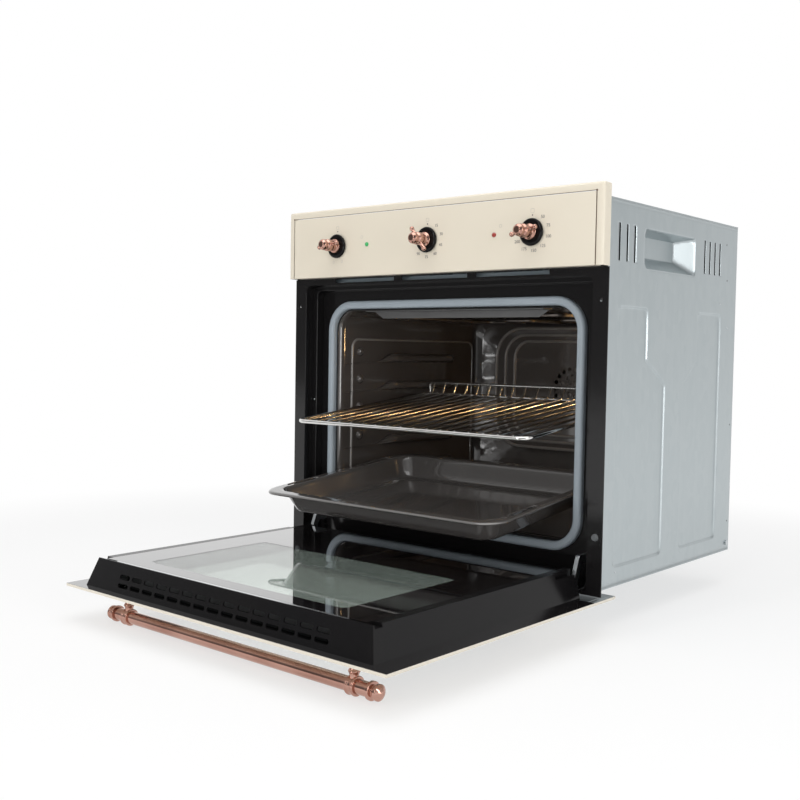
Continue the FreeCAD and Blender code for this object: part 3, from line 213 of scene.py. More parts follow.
def satin_plastic(name, colour, shade, gloss, grain, depth, index=1.48):
    """Moulded plastic, rubber or ink: fine grain in the relief and gloss, slow change of tone."""
    made = Finish(name, IOR=index)
    fine = made.noise(grain, detail=2)
    made.feed("Base Color", made.blend(made.noise(TONE, detail=3), colour, shade))
    made.feed("Roughness", gloss * 0.8 + fine * gloss * 0.4)
    made.relief(fine, depth)
    return made.material


def fibre_blanket():
    """Mineral wool under foil: matted fibres in two directions with lumpy relief."""
    made = Finish("fibre_blanket")
    fibres = made.noise(300, (1, 1, 0.08), 4) * 0.5 + made.noise(300, (1, 0.08, 1), 4) * 0.5
    lumps = made.noise(30, detail=3)
    made.feed("Base Color", made.blend(fibres, (0.42, 0.39, 0.30), (0.62, 0.60, 0.52)))
    made.feed("Roughness", 0.75 + lumps * 0.2)
    made.relief(fibres * 0.4 + lumps * 0.6, 0.002)
    return made.material


def window_mask(made, half, low, high, corner):
    """1 inside a rounded rectangle that lies flat on the opened door, 0 outside it."""
    x, y, _ = made.axes()
    beyond_x = (abs(x) - (half - corner)).higher(0.0)
    beyond_y = (abs(y - (low + high) / 2) - ((high - low) / 2 - corner)).higher(0.0)
    return 1 - (beyond_x * beyond_x + beyond_y * beyond_y).rise((corner - MM) ** 2, corner ** 2)


def pane(name, tint, window, border):
    """Tempered glass: clear inside the window, with a fired print outside it, faintly wavy and smeared."""
    made = Finish(name, IOR=1.5, Transmission_Weight=1.0, Base_Color=tint)
    smear = made.noise(SMEAR, (1, 2.5, 1), 4).rise(0.45, 0.8)
    made.feed("Roughness", smear * 0.03)
    coat = made.node("ShaderNodeBsdfPrincipled", {}, {"IOR": 1.7, "Coat Weight": 1.0,
                                                      "Base Color": border(made),
                                                      "Roughness": 0.02 + smear * 0.05})
    ripple = made.bump(made.noise(12, detail=1), 0.00005)
    for shader in (made.shader, coat.socket.node):
        made.put(shader, "Normal", ripple)
    made.cover(window_mask(made, *window), coat, Value(made, made.shader.outputs[0]))
    return made.material


BLACK_INK, BROWN_INK = (0.006, 0.006, 0.007), (0.012, 0.010, 0.010)
COAT_BACK, COAT_FRONT = -4.6 * MM, -4.9 * MM


def black_print(made):
    """Black ceramic print with a slightly browner tone in slow clouds."""
    return made.blend(made.noise(20, detail=3), BLACK_INK, BROWN_INK)


def cream_print(made):
    """Cream coat on the outer face and the edges, black where its back shows from inside."""
    _, _, z = made.axes()
    cloud = made.noise(CLOUD, detail=4)
    front = made.blend(cloud, (0.74, 0.68, 0.57), (0.70, 0.64, 0.53))
    return made.blend(z.rise(COAT_FRONT, COAT_BACK), front, made.blend(cloud, BLACK_INK, BROWN_INK))


def lens(name, colour, glow, strength):
    """Moulded lens: fine prism cells in the relief over a steady inner glow."""
    made = Finish(name, IOR=1.49, Emission_Strength=strength, Coat_Weight=0.6, Coat_Roughness=0.05)
    facets = made.cells(SPECK)
    made.feed("Base Color", made.blend(facets, colour, tuple(0.6 * part for part in colour)))
    made.feed("Emission Color", made.blend(facets, glow, tuple(0.5 * part for part in glow)))
    made.feed("Roughness", 0.12 + facets * 0.1)
    made.relief(facets, 0.0001)
    return made.material


cream = enamel("cream_enamel", (0.760, 0.695, 0.575), (0.742, 0.677, 0.556), gloss=0.30, peel=0.000004,
               ripple=30, coat=0.15, speck=0.05)
black = enamel("black_enamel", (0.0070, 0.0068, 0.0075), (0.011, 0.010, 0.010), gloss=0.10, index=1.45)
oven_enamel = enamel("oven_enamel", (0.085, 0.075, 0.069), (0.062, 0.054, 0.049), gloss=0.07, peel=0.0001,
                     ripple=26, coat=1.0)
# Pale enamel for the pressed beads inside the oven: a painted highlight that makes them lighter than the walls
bead_highlight_enamel = enamel("bead_highlight_enamel", (0.24, 0.225, 0.21), (0.15, 0.14, 0.13), gloss=0.12, peel=0.00004,
                     coat=1.0)
tray_enamel = enamel("tray_enamel", (0.086, 0.080, 0.077), (0.062, 0.057, 0.054), gloss=0.08, ripple=22,
                     coat=0.8)
door_black = enamel("door_black", (0.006, 0.006, 0.007), (0.010, 0.009, 0.009), gloss=0.14, peel=0.00004,
                    ripple=60, index=1.33)
zinc = bare_metal("zinc_plate", (0.62, 0.65, 0.67), (0.46, 0.49, 0.50), 0.28, (1, 1, 0.1), scratch=0.00002)
chrome = bare_metal("chrome_wire", (0.80, 0.80, 0.79), (0.62, 0.60, 0.57), 0.13, (0.2, 1, 1))
copper = bare_metal("rose_copper", (0.62, 0.375, 0.305), (0.36, 0.18, 0.135), 0.11, (0.06, 1, 1),
                    scratch=0.000008, scale=420)
heater = bare_metal("heater_tube", (0.34, 0.31, 0.29), (0.20, 0.17, 0.15), 0.38, scale=90)
shield_steel = bare_metal("shield_steel", (0.20, 0.20, 0.20), (0.14, 0.14, 0.14), 0.42, (0.05, 1, 1))
strip_steel = bare_metal("strip_steel", (0.78, 0.79, 0.80), (0.62, 0.64, 0.66), 0.22, (0.03, 1, 1))
galvanised = galvanised_sheet()
gloss_black = satin_plastic("gloss_black", (0.004, 0.004, 0.005), (0.007, 0.006, 0.006), gloss=0.09,
                            grain=700, depth=0.000006, index=1.25)
moulded_black = satin_plastic("moulded_black", (0.018, 0.018, 0.019), (0.028, 0.027, 0.027), gloss=0.42,
                              grain=1500, depth=0.00005)
silicone = satin_plastic("grey_silicone", (0.30, 0.35, 0.39), (0.36, 0.41, 0.45), gloss=0.36, grain=900,
                         depth=0.00004)
buffer_grey = satin_plastic("buffer_grey", (0.085, 0.092, 0.096), (0.12, 0.128, 0.132), gloss=0.45, grain=900,
                            depth=0.00004)
ceramic = satin_plastic("white_ceramic", (0.66, 0.64, 0.60), (0.58, 0.56, 0.52), gloss=0.5, grain=800,
                        depth=0.00006)
duct_grey = satin_plastic("duct_grey", (0.36, 0.43, 0.47), (0.44, 0.50, 0.54), gloss=0.4, grain=900,
                          depth=0.00002)
# Near-black sheet in the door's top rail: painted shade behind the rail's slots
slot_shade_grey = satin_plastic("slot_shade_grey", (0.020, 0.022, 0.022), (0.030, 0.032, 0.032), gloss=0.4, grain=600,
                            depth=0.00004)
# Dark brown for the line in the panel's groove, a painted shade of the gap, and for its corner pins
groove_shade_and_pin_brown = satin_plastic("groove_shade_and_pin_brown", (0.105, 0.066, 0.042), (0.150, 0.098, 0.064), gloss=0.5, grain=900,
                           depth=0.00001)
grey_ink = satin_plastic("grey_ink", (0.11, 0.10, 0.10), (0.16, 0.15, 0.14), gloss=0.5, grain=900,
                         depth=0.00001)
pale_ink = satin_plastic("pale_ink", (0.42, 0.40, 0.36), (0.50, 0.47, 0.43), gloss=0.5, grain=900,
                         depth=0.00001)
wool = fibre_blanket()
# Each pane's clear window on the opened door: half width, its two ends in y, corner radius
inner_pane = pane("inner_pane", (0.90, 0.95, 0.92), (0.184, -0.380, -0.170, 0.010), black_print)
middle_pane = pane("middle_pane", (0.92, 0.96, 0.93), (0.225, -0.390, -0.040, 0.010), black_print)
outer_pane = pane("outer_pane", (0.85, 0.91, 0.87), (0.236, -0.384, -0.050, 0.014), cream_print)
lamp_glass = lens("lamp_glass", (0.95, 0.85, 0.62), (1.0, 0.72, 0.36), 2.0)
green_lens = lens("green_lens", (0.03, 0.36, 0.10), (0.05, 0.50, 0.14), 0.35)
red_lens = lens("red_lens", (0.36, 0.045, 0.035), (0.60, 0.06, 0.04), 0.08)

CLAD = (
    (black, ["front_frame"]),
    (cream, ["panel_surround", "panel_fascia"]),
    (galvanised, ["air_duct", "side_panel_left", "side_panel_right", "top_cover", "base_plate",
                  "rear_cover"]),
    (oven_enamel, ["cavity", "shelf_runners_left", "shelf_runners_right", "fan_cover"]),
    (tray_enamel, ["baking_tray"]),
    (heater, ["grill_element", "bottom_element", "fan_rotor"]),
    (shield_steel, ["heat_shield"]),
    (zinc, ["fan_motor", "lamp_holder", "hinge_bracket_left", "hinge_bracket_right", "door_hinge_left",
            "door_hinge_right", "rear_screws", "side_screws", "knob_function_shaft", "knob_timer_shaft",
            "knob_heat_shaft"]),
    (chrome, ["wire_rack"]),
    (copper, ["handle_bar", "handle_post_left", "handle_post_right", "handle_end_left", "handle_end_right",
              "knob_function", "knob_timer", "knob_heat"]),
    (gloss_black, ["knob_function_skirt", "knob_timer_skirt", "knob_heat_skirt"]),
    (door_black, ["door_top_rail", "door_bottom_rail", "door_side_left", "door_side_right"]),
    (moulded_black, ["cable_gland", "terminal_box", "selector_switch", "timer_unit"]),
    (ceramic, ["thermostat_unit"]),
    (silicone, ["door_seal"]),
    (buffer_grey, ["door_buffers"]),
    (wool, ["insulation_jacket"]),
    (strip_steel, ["door_glass_strip"]),
    (inner_pane, ["door_inner_glass"]),
    (middle_pane, ["door_middle_glass"]),
    (outer_pane, ["door_outer_panel"]),
    (lamp_glass, ["lamp_glass"]),
    (green_lens, ["indicator_green"]),
    (red_lens, ["indicator_red"]),
)
for finish, names in CLAD:
    for name in names:
        NODES[name].data.materials.clear()
        NODES[name].data.materials.append(finish)


# Mesh: sheets of grid points joined into pieces

def sheet(points, wrap_rows=False, wrap_columns=False, keep=None, flip=False):
    """Quads between neighbouring points of a grid; a wrapped side joins its last line to its first."""
    rows, columns = points.shape[:2]
    index = np.arange(rows * columns).reshape(rows, columns)
    if wrap_rows:
        index = np.vstack([index, index[:1]])
    if wrap_columns:
        index = np.hstack([index, index[:, :1]])
    quads = np.stack([index[:-1, :-1], index[1:, :-1], index[1:, 1:], index[:-1, 1:]], axis=-1)
    quads = quads.reshape(-1, 4) if keep is None else quads[keep]
    return points.reshape(-1, 3), quads[:, ::-1] if flip else quads


def fixed_on(name, mesh, finish, body):
    """An object of a mesh and its finish that rides on a body."""
    mesh.materials.append(finish)
    made = bpy.data.objects.new(name, mesh)
    bpy.context.scene.collection.objects.link(made)
    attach(made, body)
    return made


def piece(name, sheets, finish, body, replaced=(), closed=True, wall=0.0, crease=38.0):
    """One mesh object from several sheets; doubles are merged, and closed forms are turned outwards."""
    counts = np.cumsum([0] + [len(points) for points, _ in sheets])
    points = np.concatenate([points for points, _ in sheets])
    quads = np.concatenate([quads + start for (_, quads), start in zip(sheets, counts)])
    mesh = bpy.data.meshes.new(name)
    mesh.from_pydata(points.tolist(), [], quads.tolist())
    work = bmesh.new()
    work.from_mesh(mesh)
    bmesh.ops.remove_doubles(work, verts=work.verts, dist=1e-6)
    bmesh.ops.dissolve_degenerate(work, edges=work.edges, dist=1e-7)
    if closed:
        bmesh.ops.recalc_face_normals(work, faces=work.faces)
    work.to_mesh(mesh)
    work.free()
    mesh.shade_smooth()
    mesh.set_sharp_from_angle(angle=math.radians(crease))
    made = fixed_on(name, mesh, finish, body)
    if wall:
        solid = made.modifiers.new("wall", "SOLIDIFY")
        solid.thickness, solid.offset = wall * MM, -1.0
    if replaced:
        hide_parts(*replaced)


def ease(value, low, high):
    """Smooth step from 0 at low to 1 at high."""
    share = np.clip((value - low) / (high - low), 0, 1)
    return share * share * (3 - 2 * share)


def ring(half, low, high, radius, steps=10, across=1, up=1):
    """Rounded rectangle as rows of (x, z): four quarter arcs, with straight runs of even points between."""
    turn = np.linspace(0, np.pi / 2, steps + 1)
    wide, tall = half - radius, (high - low) / 2 - radius
    middle = (high + low) / 2
    corners = ((1, -1, -np.pi / 2), (1, 1, 0), (-1, 1, np.pi / 2), (-1, -1, np.pi))
    arcs = [np.stack([sx * wide + radius * np.cos(turn + start),
                      middle + sz * tall + radius * np.sin(turn + start)], 1) for sx, sz, start in corners]
    line = []
    for arc, after, count in zip(arcs, arcs[1:] + arcs[:1], (up, across, up, across)):
        share = np.linspace(0, 1, count + 1)[1:-1, None]
        line += [arc, arc[-1] + (after[0] - arc[-1]) * share]
    return np.concatenate(line)


def eased_outline(keys, samples, width):
    """Outline through (along, radius) keys, evenly sampled and averaged over a short width, which eases its
    corners."""
    run = np.concatenate([[0], np.cumsum(np.hypot(*np.diff(keys, axis=0).T))])
    at = np.linspace(0, run[-1], samples)
    near_end = np.minimum(1, np.minimum(at, run[-1] - at) * 2 / width)
    offsets = np.linspace(-0.5, 0.5, 9) * width
    spread = np.clip(at[:, None] + offsets * near_end[:, None], 0, run[-1])
    return np.stack([np.interp(spread, run, keys[:, i]).mean(1) for i in (0, 1)], 1)


def turned(keys, place, axis, segments, samples=0, width=1.2):
    """Outline of (along, radius) keys carried round an axis through a place; samples ease its corners over a
    width."""
    outline = np.array(keys, float) * MM
    if samples:
        outline = eased_outline(outline, samples, width * MM)
    axis = np.array(axis, float)
    side = np.cross(axis, (0, 0, 1) if abs(axis[2]) < 0.9 else (1, 0, 0))
    side /= np.linalg.norm(side)
    over = np.cross(axis, side)
    angle = np.linspace(0, 2 * np.pi, segments, endpoint=False)
    spoke = np.cos(angle)[:, None] * side + np.sin(angle)[:, None] * over
    points = np.array(place) * MM + outline[:, None, :1] * axis + outline[:, None, 1:] * spoke[None]
    return sheet(points, wrap_columns=True)


def tube(path, radius, segments=10, looped=True, across=(0, 1, 0)):
    """Round bar along a path in a plane square to across: each point carries a circle square to the path, and
    an open bar ends in a flat fan at each end."""
    ahead, behind = np.roll(path, -1, 0), np.roll(path, 1, 0)
    if not looped:
        ahead[-1], behind[0] = path[-1], path[0]
    along = ahead - behind
    along /= np.linalg.norm(along, axis=1)[:, None]
    side = np.cross(along, across)
    side /= np.linalg.norm(side, axis=1)[:, None]
    over = np.cross(side, along)
    angle = np.linspace(0, 2 * np.pi, segments, endpoint=False)
    circle = np.cos(angle)[None, :, None] * side[:, None] + np.sin(angle)[None, :, None] * over[:, None]
    rows = path[:, None] + radius * MM * circle
    if not looped:
        first, last = (np.repeat(path[end][None, None], segments, 1) for end in (0, -1))
        rows = np.concatenate([first, rows, last])
    return sheet(rows, wrap_rows=looped, wrap_columns=True)


def bead(line, at, axis, radius, segments, looped=True):
    """Tube along a flat line of points that lies at one value of an axis (0 is x, 1 is y, 2 is z)."""
    return tube(np.insert(line, axis, at, axis=1) * MM, radius, segments, looped, np.eye(3)[axis])


def grid_lines(low, high, step, zones, exact):
    """Grid lines in even steps over a span, with closer steps in each (from, to, step) zone and some exact
    lines."""
    lines = [np.arange(low, high, step), [high], exact] + [np.arange(*zone) for zone in zones]
    return np.unique(np.round(np.concatenate(lines), 2))


# Pressed casing sides

SIDE_X, SIDE_Y, SIDE_Z, CASING_SHEET = 277.0, (0.0, 460.8), (1.2, 539.8), 1.2
VENTS = [(y, y + 5.0) for y in (60.0, 82.0, 104.0, 334.0, 353.0, 372.0, 391.0)]
VENT_Z = (456.0, 508.0)
# Carry recess: its mouth in y and z, the mouth's corner, its depth, and how far in each slope runs
CARRY, CARRY_CORNER, CARRY_DEPTH = (137.0, 305.0, 449.0, 508.0), 11.0, 25.0
END_SLOPE, TOP_SLOPE, FOOT_SLOPE, MOUTH_SLOPE, SOFTEN = 30.0, 7.0, 20.0, 6.0, 10.0
# Bottle outlines: outer edge and the way in from it, reach of the neck and of the body; then shared heights
BOTTLES = [(66.0, 1, 86.0, 146.0), (404.0, -1, 86.0, 132.0)]
BOTTLE_LOW, SHOULDER_LOW, SHOULDER_HIGH, BOTTLE_HIGH = 28.0, 282.0, 318.0, 393.0
BOTTLE_CORNER, BOTTLE_DEPTH, BOTTLE_ROLL = 9.0, 2.6, 2.2
# Grid steps on flat sheet, over slopes and over rolled edges, and how far a rolled edge's steps reach
FLAT_STEP, BEND_STEP, ROLL_STEP, ROLL_ZONE = 9.0, 1.5, 0.7, 3.5


def outline_distance(y, z, corners):
    """Signed distance to a polygon: shortest way to its edges, below zero inside."""
    corners = np.array(corners, float)
    best, inside = np.full(y.shape, 1e9), np.zeros(y.shape, bool)
    for (ay, az), (by, bz) in zip(corners, np.roll(corners, -1, 0)):
        ey, ez = by - ay, bz - az
        share = np.clip(((y - ay) * ey + (z - az) * ez) / (ey * ey + ez * ez), 0, 1)
        best = np.minimum(best, np.hypot(y - ay - share * ey, z - az - share * ez))
        inside ^= ((az > z) != (bz > z)) & (y < ay + (z - az) * ey / (ez if ez else 1e-9))
    return np.where(inside, -best, best)


def side_depth(y, z):
    """How far the sheet is pressed in: bottle outlines with rolled edges and round corners, and a recess to
    carry by, whose depth is the soft least of its four slopes and the way in from its rounded mouth."""
    depth, r = np.zeros(y.shape), BOTTLE_CORNER
    for edge, way, neck, body in BOTTLES:
        outline = [(r, BOTTLE_LOW + r), (r, BOTTLE_HIGH - r), (neck - r, BOTTLE_HIGH - r),
                   (neck - r, SHOULDER_HIGH - r / 2), (body - r, SHOULDER_LOW - r / 2),
                   (body - r, BOTTLE_LOW + r)]
        away = outline_distance(y, z, [(edge + way * u, v) for u, v in outline]) - r
        depth = np.maximum(depth, BOTTLE_DEPTH * ease(-away, -BOTTLE_ROLL, BOTTLE_ROLL))
    low_y, high_y, low_z, high_z = CARRY
    across = abs(y - (low_y + high_y) / 2) - (high_y - low_y) / 2 + CARRY_CORNER
    up = abs(z - (low_z + high_z) / 2) - (high_z - low_z) / 2 + CARRY_CORNER
    mouth = CARRY_CORNER - np.hypot(np.maximum(across, 0), np.maximum(up, 0))
    slopes = np.stack([(y - low_y) / END_SLOPE, (high_y - y) / END_SLOPE, (high_z - z) / TOP_SLOPE,
                       (z - low_z) / FOOT_SLOPE, mouth / MOUTH_SLOPE])
    hollow = -np.log(np.exp(-SOFTEN * np.maximum(slopes, -5)).sum(0)) / SOFTEN
    return np.maximum(depth, CARRY_DEPTH * np.clip(hollow, 0, 1))


def pressed_side(name, side):
    """Casing side: a flat grid of (y, z) points, each pressed in by side_depth, with open vent slots."""
    edges_y = [edge + way * reach for edge, way, *reaches in BOTTLES for reach in (0, *reaches)]
    y_zones = [(at - ROLL_ZONE, at + ROLL_ZONE, ROLL_STEP) for at in edges_y]
    y_zones += [(155, 210, BEND_STEP), (275, 316, BEND_STEP), (CARRY[0] - 6, CARRY[1] + 6, 4)]
    z_zones = [(at - ROLL_ZONE, at + ROLL_ZONE, ROLL_STEP) for at in (BOTTLE_LOW, BOTTLE_HIGH)]
    z_zones += [(SHOULDER_LOW - 4, SHOULDER_HIGH + 4, BEND_STEP), (CARRY[2] - 4, CARRY[3] + 4, 2.5)]
    y = grid_lines(*SIDE_Y, FLAT_STEP, y_zones, np.array(VENTS).ravel())
    z = grid_lines(*SIDE_Z, FLAT_STEP, z_zones, VENT_Z)
    yy, zz = np.meshgrid(y, z)
    points = np.stack([side * (SIDE_X - side_depth(yy, zz)), yy, zz], -1) * MM
    mid_y, mid_z = np.meshgrid((y[1:] + y[:-1]) / 2, (z[1:] + z[:-1]) / 2)
    open_slot = sum((mid_y > low) & (mid_y < high) for low, high in VENTS) > 0
    keep = ~(open_slot & (mid_z > VENT_Z[0]) & (mid_z < VENT_Z[1]))
    piece(name + "_pressing", [sheet(points, keep=keep, flip=side > 0)], galvanised, "oven_body",
          [name], closed=False, wall=CASING_SHEET, crease=60)


pressed_side("side_panel_left", -1)
pressed_side("side_panel_right", 1)


# Control panel: rolled border

PANEL_HALF, PANEL_LOW, PANEL_HIGH, PANEL_FRONT = 297.5, 443.5, 553.0, -18.0
BORDER, BORDER_SHEET, PANEL_CORNER = 11.5, 1.5, 3.0
OUTER_ROLL, INNER_ROLL = 4.0, 1.2


def panel_border():
    """Folded border: a rolled edge profile carried up one side, over the top and down the other."""
    roll = np.linspace(0, np.pi / 2, 9)
    back = PANEL_FRONT + 2 * INNER_ROLL
    outer = [(OUTER_ROLL - OUTER_ROLL * np.cos(a), PANEL_FRONT + OUTER_ROLL - OUTER_ROLL * np.sin(a))
             for a in roll]
    inner = [(BORDER - INNER_ROLL + INNER_ROLL * np.sin(a), PANEL_FRONT + INNER_ROLL - INNER_ROLL * np.cos(a))
             for a in roll[::2]]
    rear = [(BORDER, back), (BORDER_SHEET, back), (BORDER_SHEET, 0.0), (0, 0.0)]
    u, y = np.array([(0, 0.0)] + outer + inner + rear).T
    bend = np.linspace(0, np.pi / 2, 6)
    reach = np.maximum(PANEL_CORNER - u, 0.0)
    left, top = -PANEL_HALF + u, PANEL_HIGH - u
    rows = [(left, np.full_like(u, PANEL_LOW))]
    rows += [(left + reach * (1 - np.cos(a)), top - reach * (1 - np.sin(a))) for a in bend]
    rows += [(-x, z) for x, z in reversed(rows)]
    points = np.stack([np.stack([x, y, z], 1) for x, z in rows]) * MM
    ends = [sheet(np.stack([row, np.repeat(row.mean(0)[None], len(row), 0)]))
            for row in (points[0], points[-1])]
    piece("panel_border", [sheet(points)] + ends, cream, "oven_body", ["panel_surround"])


panel_border()


# Turned copper by (along, radius) keys: knobs, handle posts and finials; GRIP and FINIAL are shares of a size

GRIP = ((0, 0), (0, 1), (0.1, 1), (0.16, 0.72), (0.3, 0.66), (0.42, 0.85), (0.62, 0.85), (0.7, 0.62),
        (0.8, 0.8), (0.92, 0.74), (1, 0.45), (1, 0))
GRIP_SIZE = (33.0, 11.0)
LEVER_END = [(0, 0), (0.9, 2.4), (2.6, 3.6), (4.6, 3.6), (6.6, 2.7), (9, 2.4), (14, 2.9)]
LEVER_LENGTH, LEVER_OUT = 45.5, 17.0
SKIRT = ((0, 3), (0, 17.6), (0.3, 18.6), (1.2, 19), (2.6, 19), (3.6, 18.2), (4.2, 16.6), (4.5, 14.2),
         (4.3, 13.4), (4.4, 12.4), (4.5, 3))
SKIRT_FACE, SKIRT_DEPTH, KNOB_Z = -23.1, 4.5, 492.5
KNOBS = {"function": (-186.0, 8.0), "timer": (0.0, 128.0), "heat": (186.0, 12.0)}  # x, lever's angle
FINIAL = ((0, 0), (0, 1.3), (0.22, 1.3), (0.3, 0.76), (0.42, 0.82), (0.52, 1.12), (0.74, 1.12), (0.9, 0.7),
          (1, 0.3), (1, 0))
FINIAL_SIZE = (18.0, 8.5)
POST = ((0, 0), (0, 10), (2.2, 10), (3.5, 9.2), (4.2, 7.2), (8, 6.2), (16.5, 5.5), (18.6, 6.4), (20.2, 7.5),
        (21.8, 6.4), (23.9, 5.5), (30, 5.5), (36.8, 5.5), (36.8, 0))
BAND = ((0, 8.4), (0, 10.6), (1, 11.5), (3, 11.5), (4.2, 10.4), (8.8, 10.4), (10, 11.5), (12, 11.5),
        (13, 10.6), (13, 8.4), (0, 8.4))
BAND_WIDTH, POST_FOOT = 13.0, -8.5
HANDLE_Y, HANDLE_Z, HANDLE_END, POST_X = -392.0, -45.3, 237.0, 212.0


def knob(name, x, angle):
    """Turned grip with a cross lever whose two ends mirror each other, over a black skirt."""
    grip = turned(np.array(GRIP) * GRIP_SIZE, (x, SKIRT_FACE, KNOB_Z), (0, -1, 0), 64, 110)
    lever = LEVER_END + [(LEVER_LENGTH - along, out) for along, out in reversed(LEVER_END)]
    way = np.array([math.cos(math.radians(angle)), 0, math.sin(math.radians(angle))])
    start = np.array([x, SKIRT_FACE - LEVER_OUT, KNOB_Z]) - way * LEVER_LENGTH / 2
    bar = turned(lever, start, way, 32, 70)
    piece("grip_" + name, [grip, bar], copper, "knob_" + name, ["knob_" + name])
    disc = turned(SKIRT, (x, SKIRT_FACE + SKIRT_DEPTH, KNOB_Z), (0, -1, 0), 72, 80, 0.6)
    piece("dial_" + name, [disc], gloss_black, "knob_" + name, [f"knob_{name}_skirt"])


def handle_end(word, side):
    """One end of the handle: a turned finial, and a post with a banded collar round the bar."""
    finial = turned(np.array(FINIAL) * FINIAL_SIZE, (side * HANDLE_END, HANDLE_Y, HANDLE_Z), (side, 0, 0), 56,
                    90)
    piece("finial_" + word, [finial], copper, "door", ["handle_end_" + word])
    stem = turned(POST, (side * POST_X, HANDLE_Y, POST_FOOT), (0, 0, -1), 48, 90)
    collar = turned(BAND, (side * POST_X - BAND_WIDTH / 2, HANDLE_Y, HANDLE_Z), (1, 0, 0), 56, 80, 0.8)
    piece("post_" + word, [stem, collar], copper, "door", ["handle_post_" + word])


for name, (x, angle) in KNOBS.items():
    knob(name, x, angle)
handle_end("left", -1)
handle_end("right", 1)


# Inside of the oven

CAVITY_HALF, CAVITY_LOW, CAVITY_HIGH, CAVITY_R = 231.0, 63.0, 391.0, 30.0
CAVITY_FRONT, CAVITY_BACK, CAVITY_SHEET, REAR_ROLL = 34.8, 424.8, 1.4, 14.0
# Wall panel's bead: half its run in y, its heights and corner, the run's middle, its radius; then the domes
WALL_BEAD, WALL_MIDDLE, WALL_BEAD_R = (171.0, 100.0, 345.0, 16), 239.0, 2.4
DOME = ((-1, 0), (-1, 8), (0.5, 8), (2.5, 7), (4.5, 5), (5.8, 2.5), (6.2, 0))
DOME_Y, DOME_Z = 88.0, (324.0, 277.0, 230.0, 180.0)
RUNNER_TOPS, RUNNER_RISE, RUNNER_OUT = (130.0, 178.0, 226.0, 274.0, 322.0), 17.0, 16.0
RACK_LEVEL, TRAY_LEVEL = 2, 0
# Runner along y, in metres: its front tip, the swell's fine steps and its ease, its rear close and blunt ends
TIP, SWELL, SWELL_EASE, CLOSE, BLUNT = 0.012, (0.125, 0.175), (0.128, 0.172), 0.014, 0.002
THIN, FLATTEN = 0.12, 0.7  # share of the full size in front of the swell, power that flattens the half round
COVER_HALF, COVER_CORNER, COVER_INSET, COVER_BEAD_R = 172.0, 60.0, 4.0, 3.15
COVER_STEP_X, COVER_STEP_Z, COVER_FACE = 21.0, 12.0, 3.0


def oven_lining():
    """Enamelled muffle: a rounded ring carried back in depth, drawn in at the rear and closed by a rear wall."""
    line = ring(CAVITY_HALF, CAVITY_LOW, CAVITY_HIGH, CAVITY_R, 12, 12, 10)
    bend = CAVITY_BACK - REAR_ROLL
    depth = np.concatenate([np.linspace(CAVITY_FRONT, bend, 24),
                            bend + REAR_ROLL * np.sin(np.linspace(0.15, 1, 9) * np.pi / 2)])
    shrink = REAR_ROLL - REAR_ROLL * np.cos(np.clip((depth - bend) / REAR_ROLL, 0, 1) * np.pi / 2)
    x = np.sign(line[:, 0]) * (abs(line[:, 0])[None] - shrink[:, None])
    middle = (CAVITY_LOW + CAVITY_HIGH) / 2
    z = (line[:, 1] - middle)[None] * (1 - shrink[:, None] / (CAVITY_HIGH - middle)) + middle
    points = np.stack([x, np.repeat(depth[:, None], len(line), 1), z], -1) * MM
    back = np.stack([points[-1], np.repeat([[0, CAVITY_BACK * MM, middle * MM]], len(line), 0)])
    sheets = [sheet(part, wrap_columns=True, flip=True) for part in (points, back)]
    piece("oven_lining", sheets, oven_enamel, "oven_body", ["cavity"], closed=False,
          wall=CAVITY_SHEET, crease=50)


def wall_beads():
    """Pressed marks of the side walls: a bead round each wall's panel and a row of domes up its front."""
    line = ring(*WALL_BEAD, 10, 12, 8) + (WALL_MIDDLE, 0)
    beads = [bead(line, side * CAVITY_HALF, 0, WALL_BEAD_R, 12) for side in SIDES]
    domes = [turned(DOME, (side * CAVITY_HALF, DOME_Y, z), (-side, 0, 0), 28, 24, 2)
             for side in SIDES for z in DOME_Z]
    # the beads take the pale enamel: a painted highlight along them
    piece("wall_beads", beads, bead_highlight_enamel, "oven_body")
    piece("wall_domes", domes, oven_enamel, "oven_body")


def shelf_ridges(name, side):
    """Embossed shelf runners: a flattened half round carried back, rising from a low point in front and
    closing behind; each follows the arc of the shelf that slides on its level."""
    low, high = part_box(name)
    stops = ((low.y, low.y + TIP, 6), (low.y + TIP, SWELL[0], 8), (*SWELL, 16),
             (SWELL[1], high.y - CLOSE, 20), (high.y - CLOSE, high.y, 8))
    y = np.concatenate([np.linspace(*stop)[count > 0:] for count, stop in enumerate(stops)])
    full = (THIN + (1 - THIN) * ease(y, *SWELL_EASE)) * ease(y, low.y - BLUNT, low.y + TIP)
    full = full * ease(-y, -high.y - BLUNT, -high.y + CLOSE)
    angle = np.linspace(0, np.pi, 17)
    out = np.abs(np.sin(angle)) ** FLATTEN * RUNNER_OUT * MM
    rise = np.sign(np.cos(angle)) * np.abs(np.cos(angle)) ** FLATTEN * 0.5 + 0.5
    ridges = []
    for level, top in enumerate(RUNNER_TOPS):
        pole = JOINTS["rack_travel" if level else "tray_travel"]["pos_m"]
        span = RUNNER_TOPS[RACK_LEVEL if level else TRAY_LEVEL] * MM - pole[2]
        tilt = np.maximum(pole[1] - y, 0) ** 2 / (2 * span)
        base = (top - RUNNER_RISE) * MM - tilt
        points = np.stack([side * (CAVITY_HALF * MM - full[:, None] * out),
                           np.repeat(y[:, None], len(angle), 1),
                           base[:, None] + full[:, None] * rise * RUNNER_RISE * MM], -1)
        ridges.append(sheet(points, flip=side < 0))
    piece(name + "_ridges", ridges, oven_enamel, "oven_body", [name], closed=False,
          crease=60)


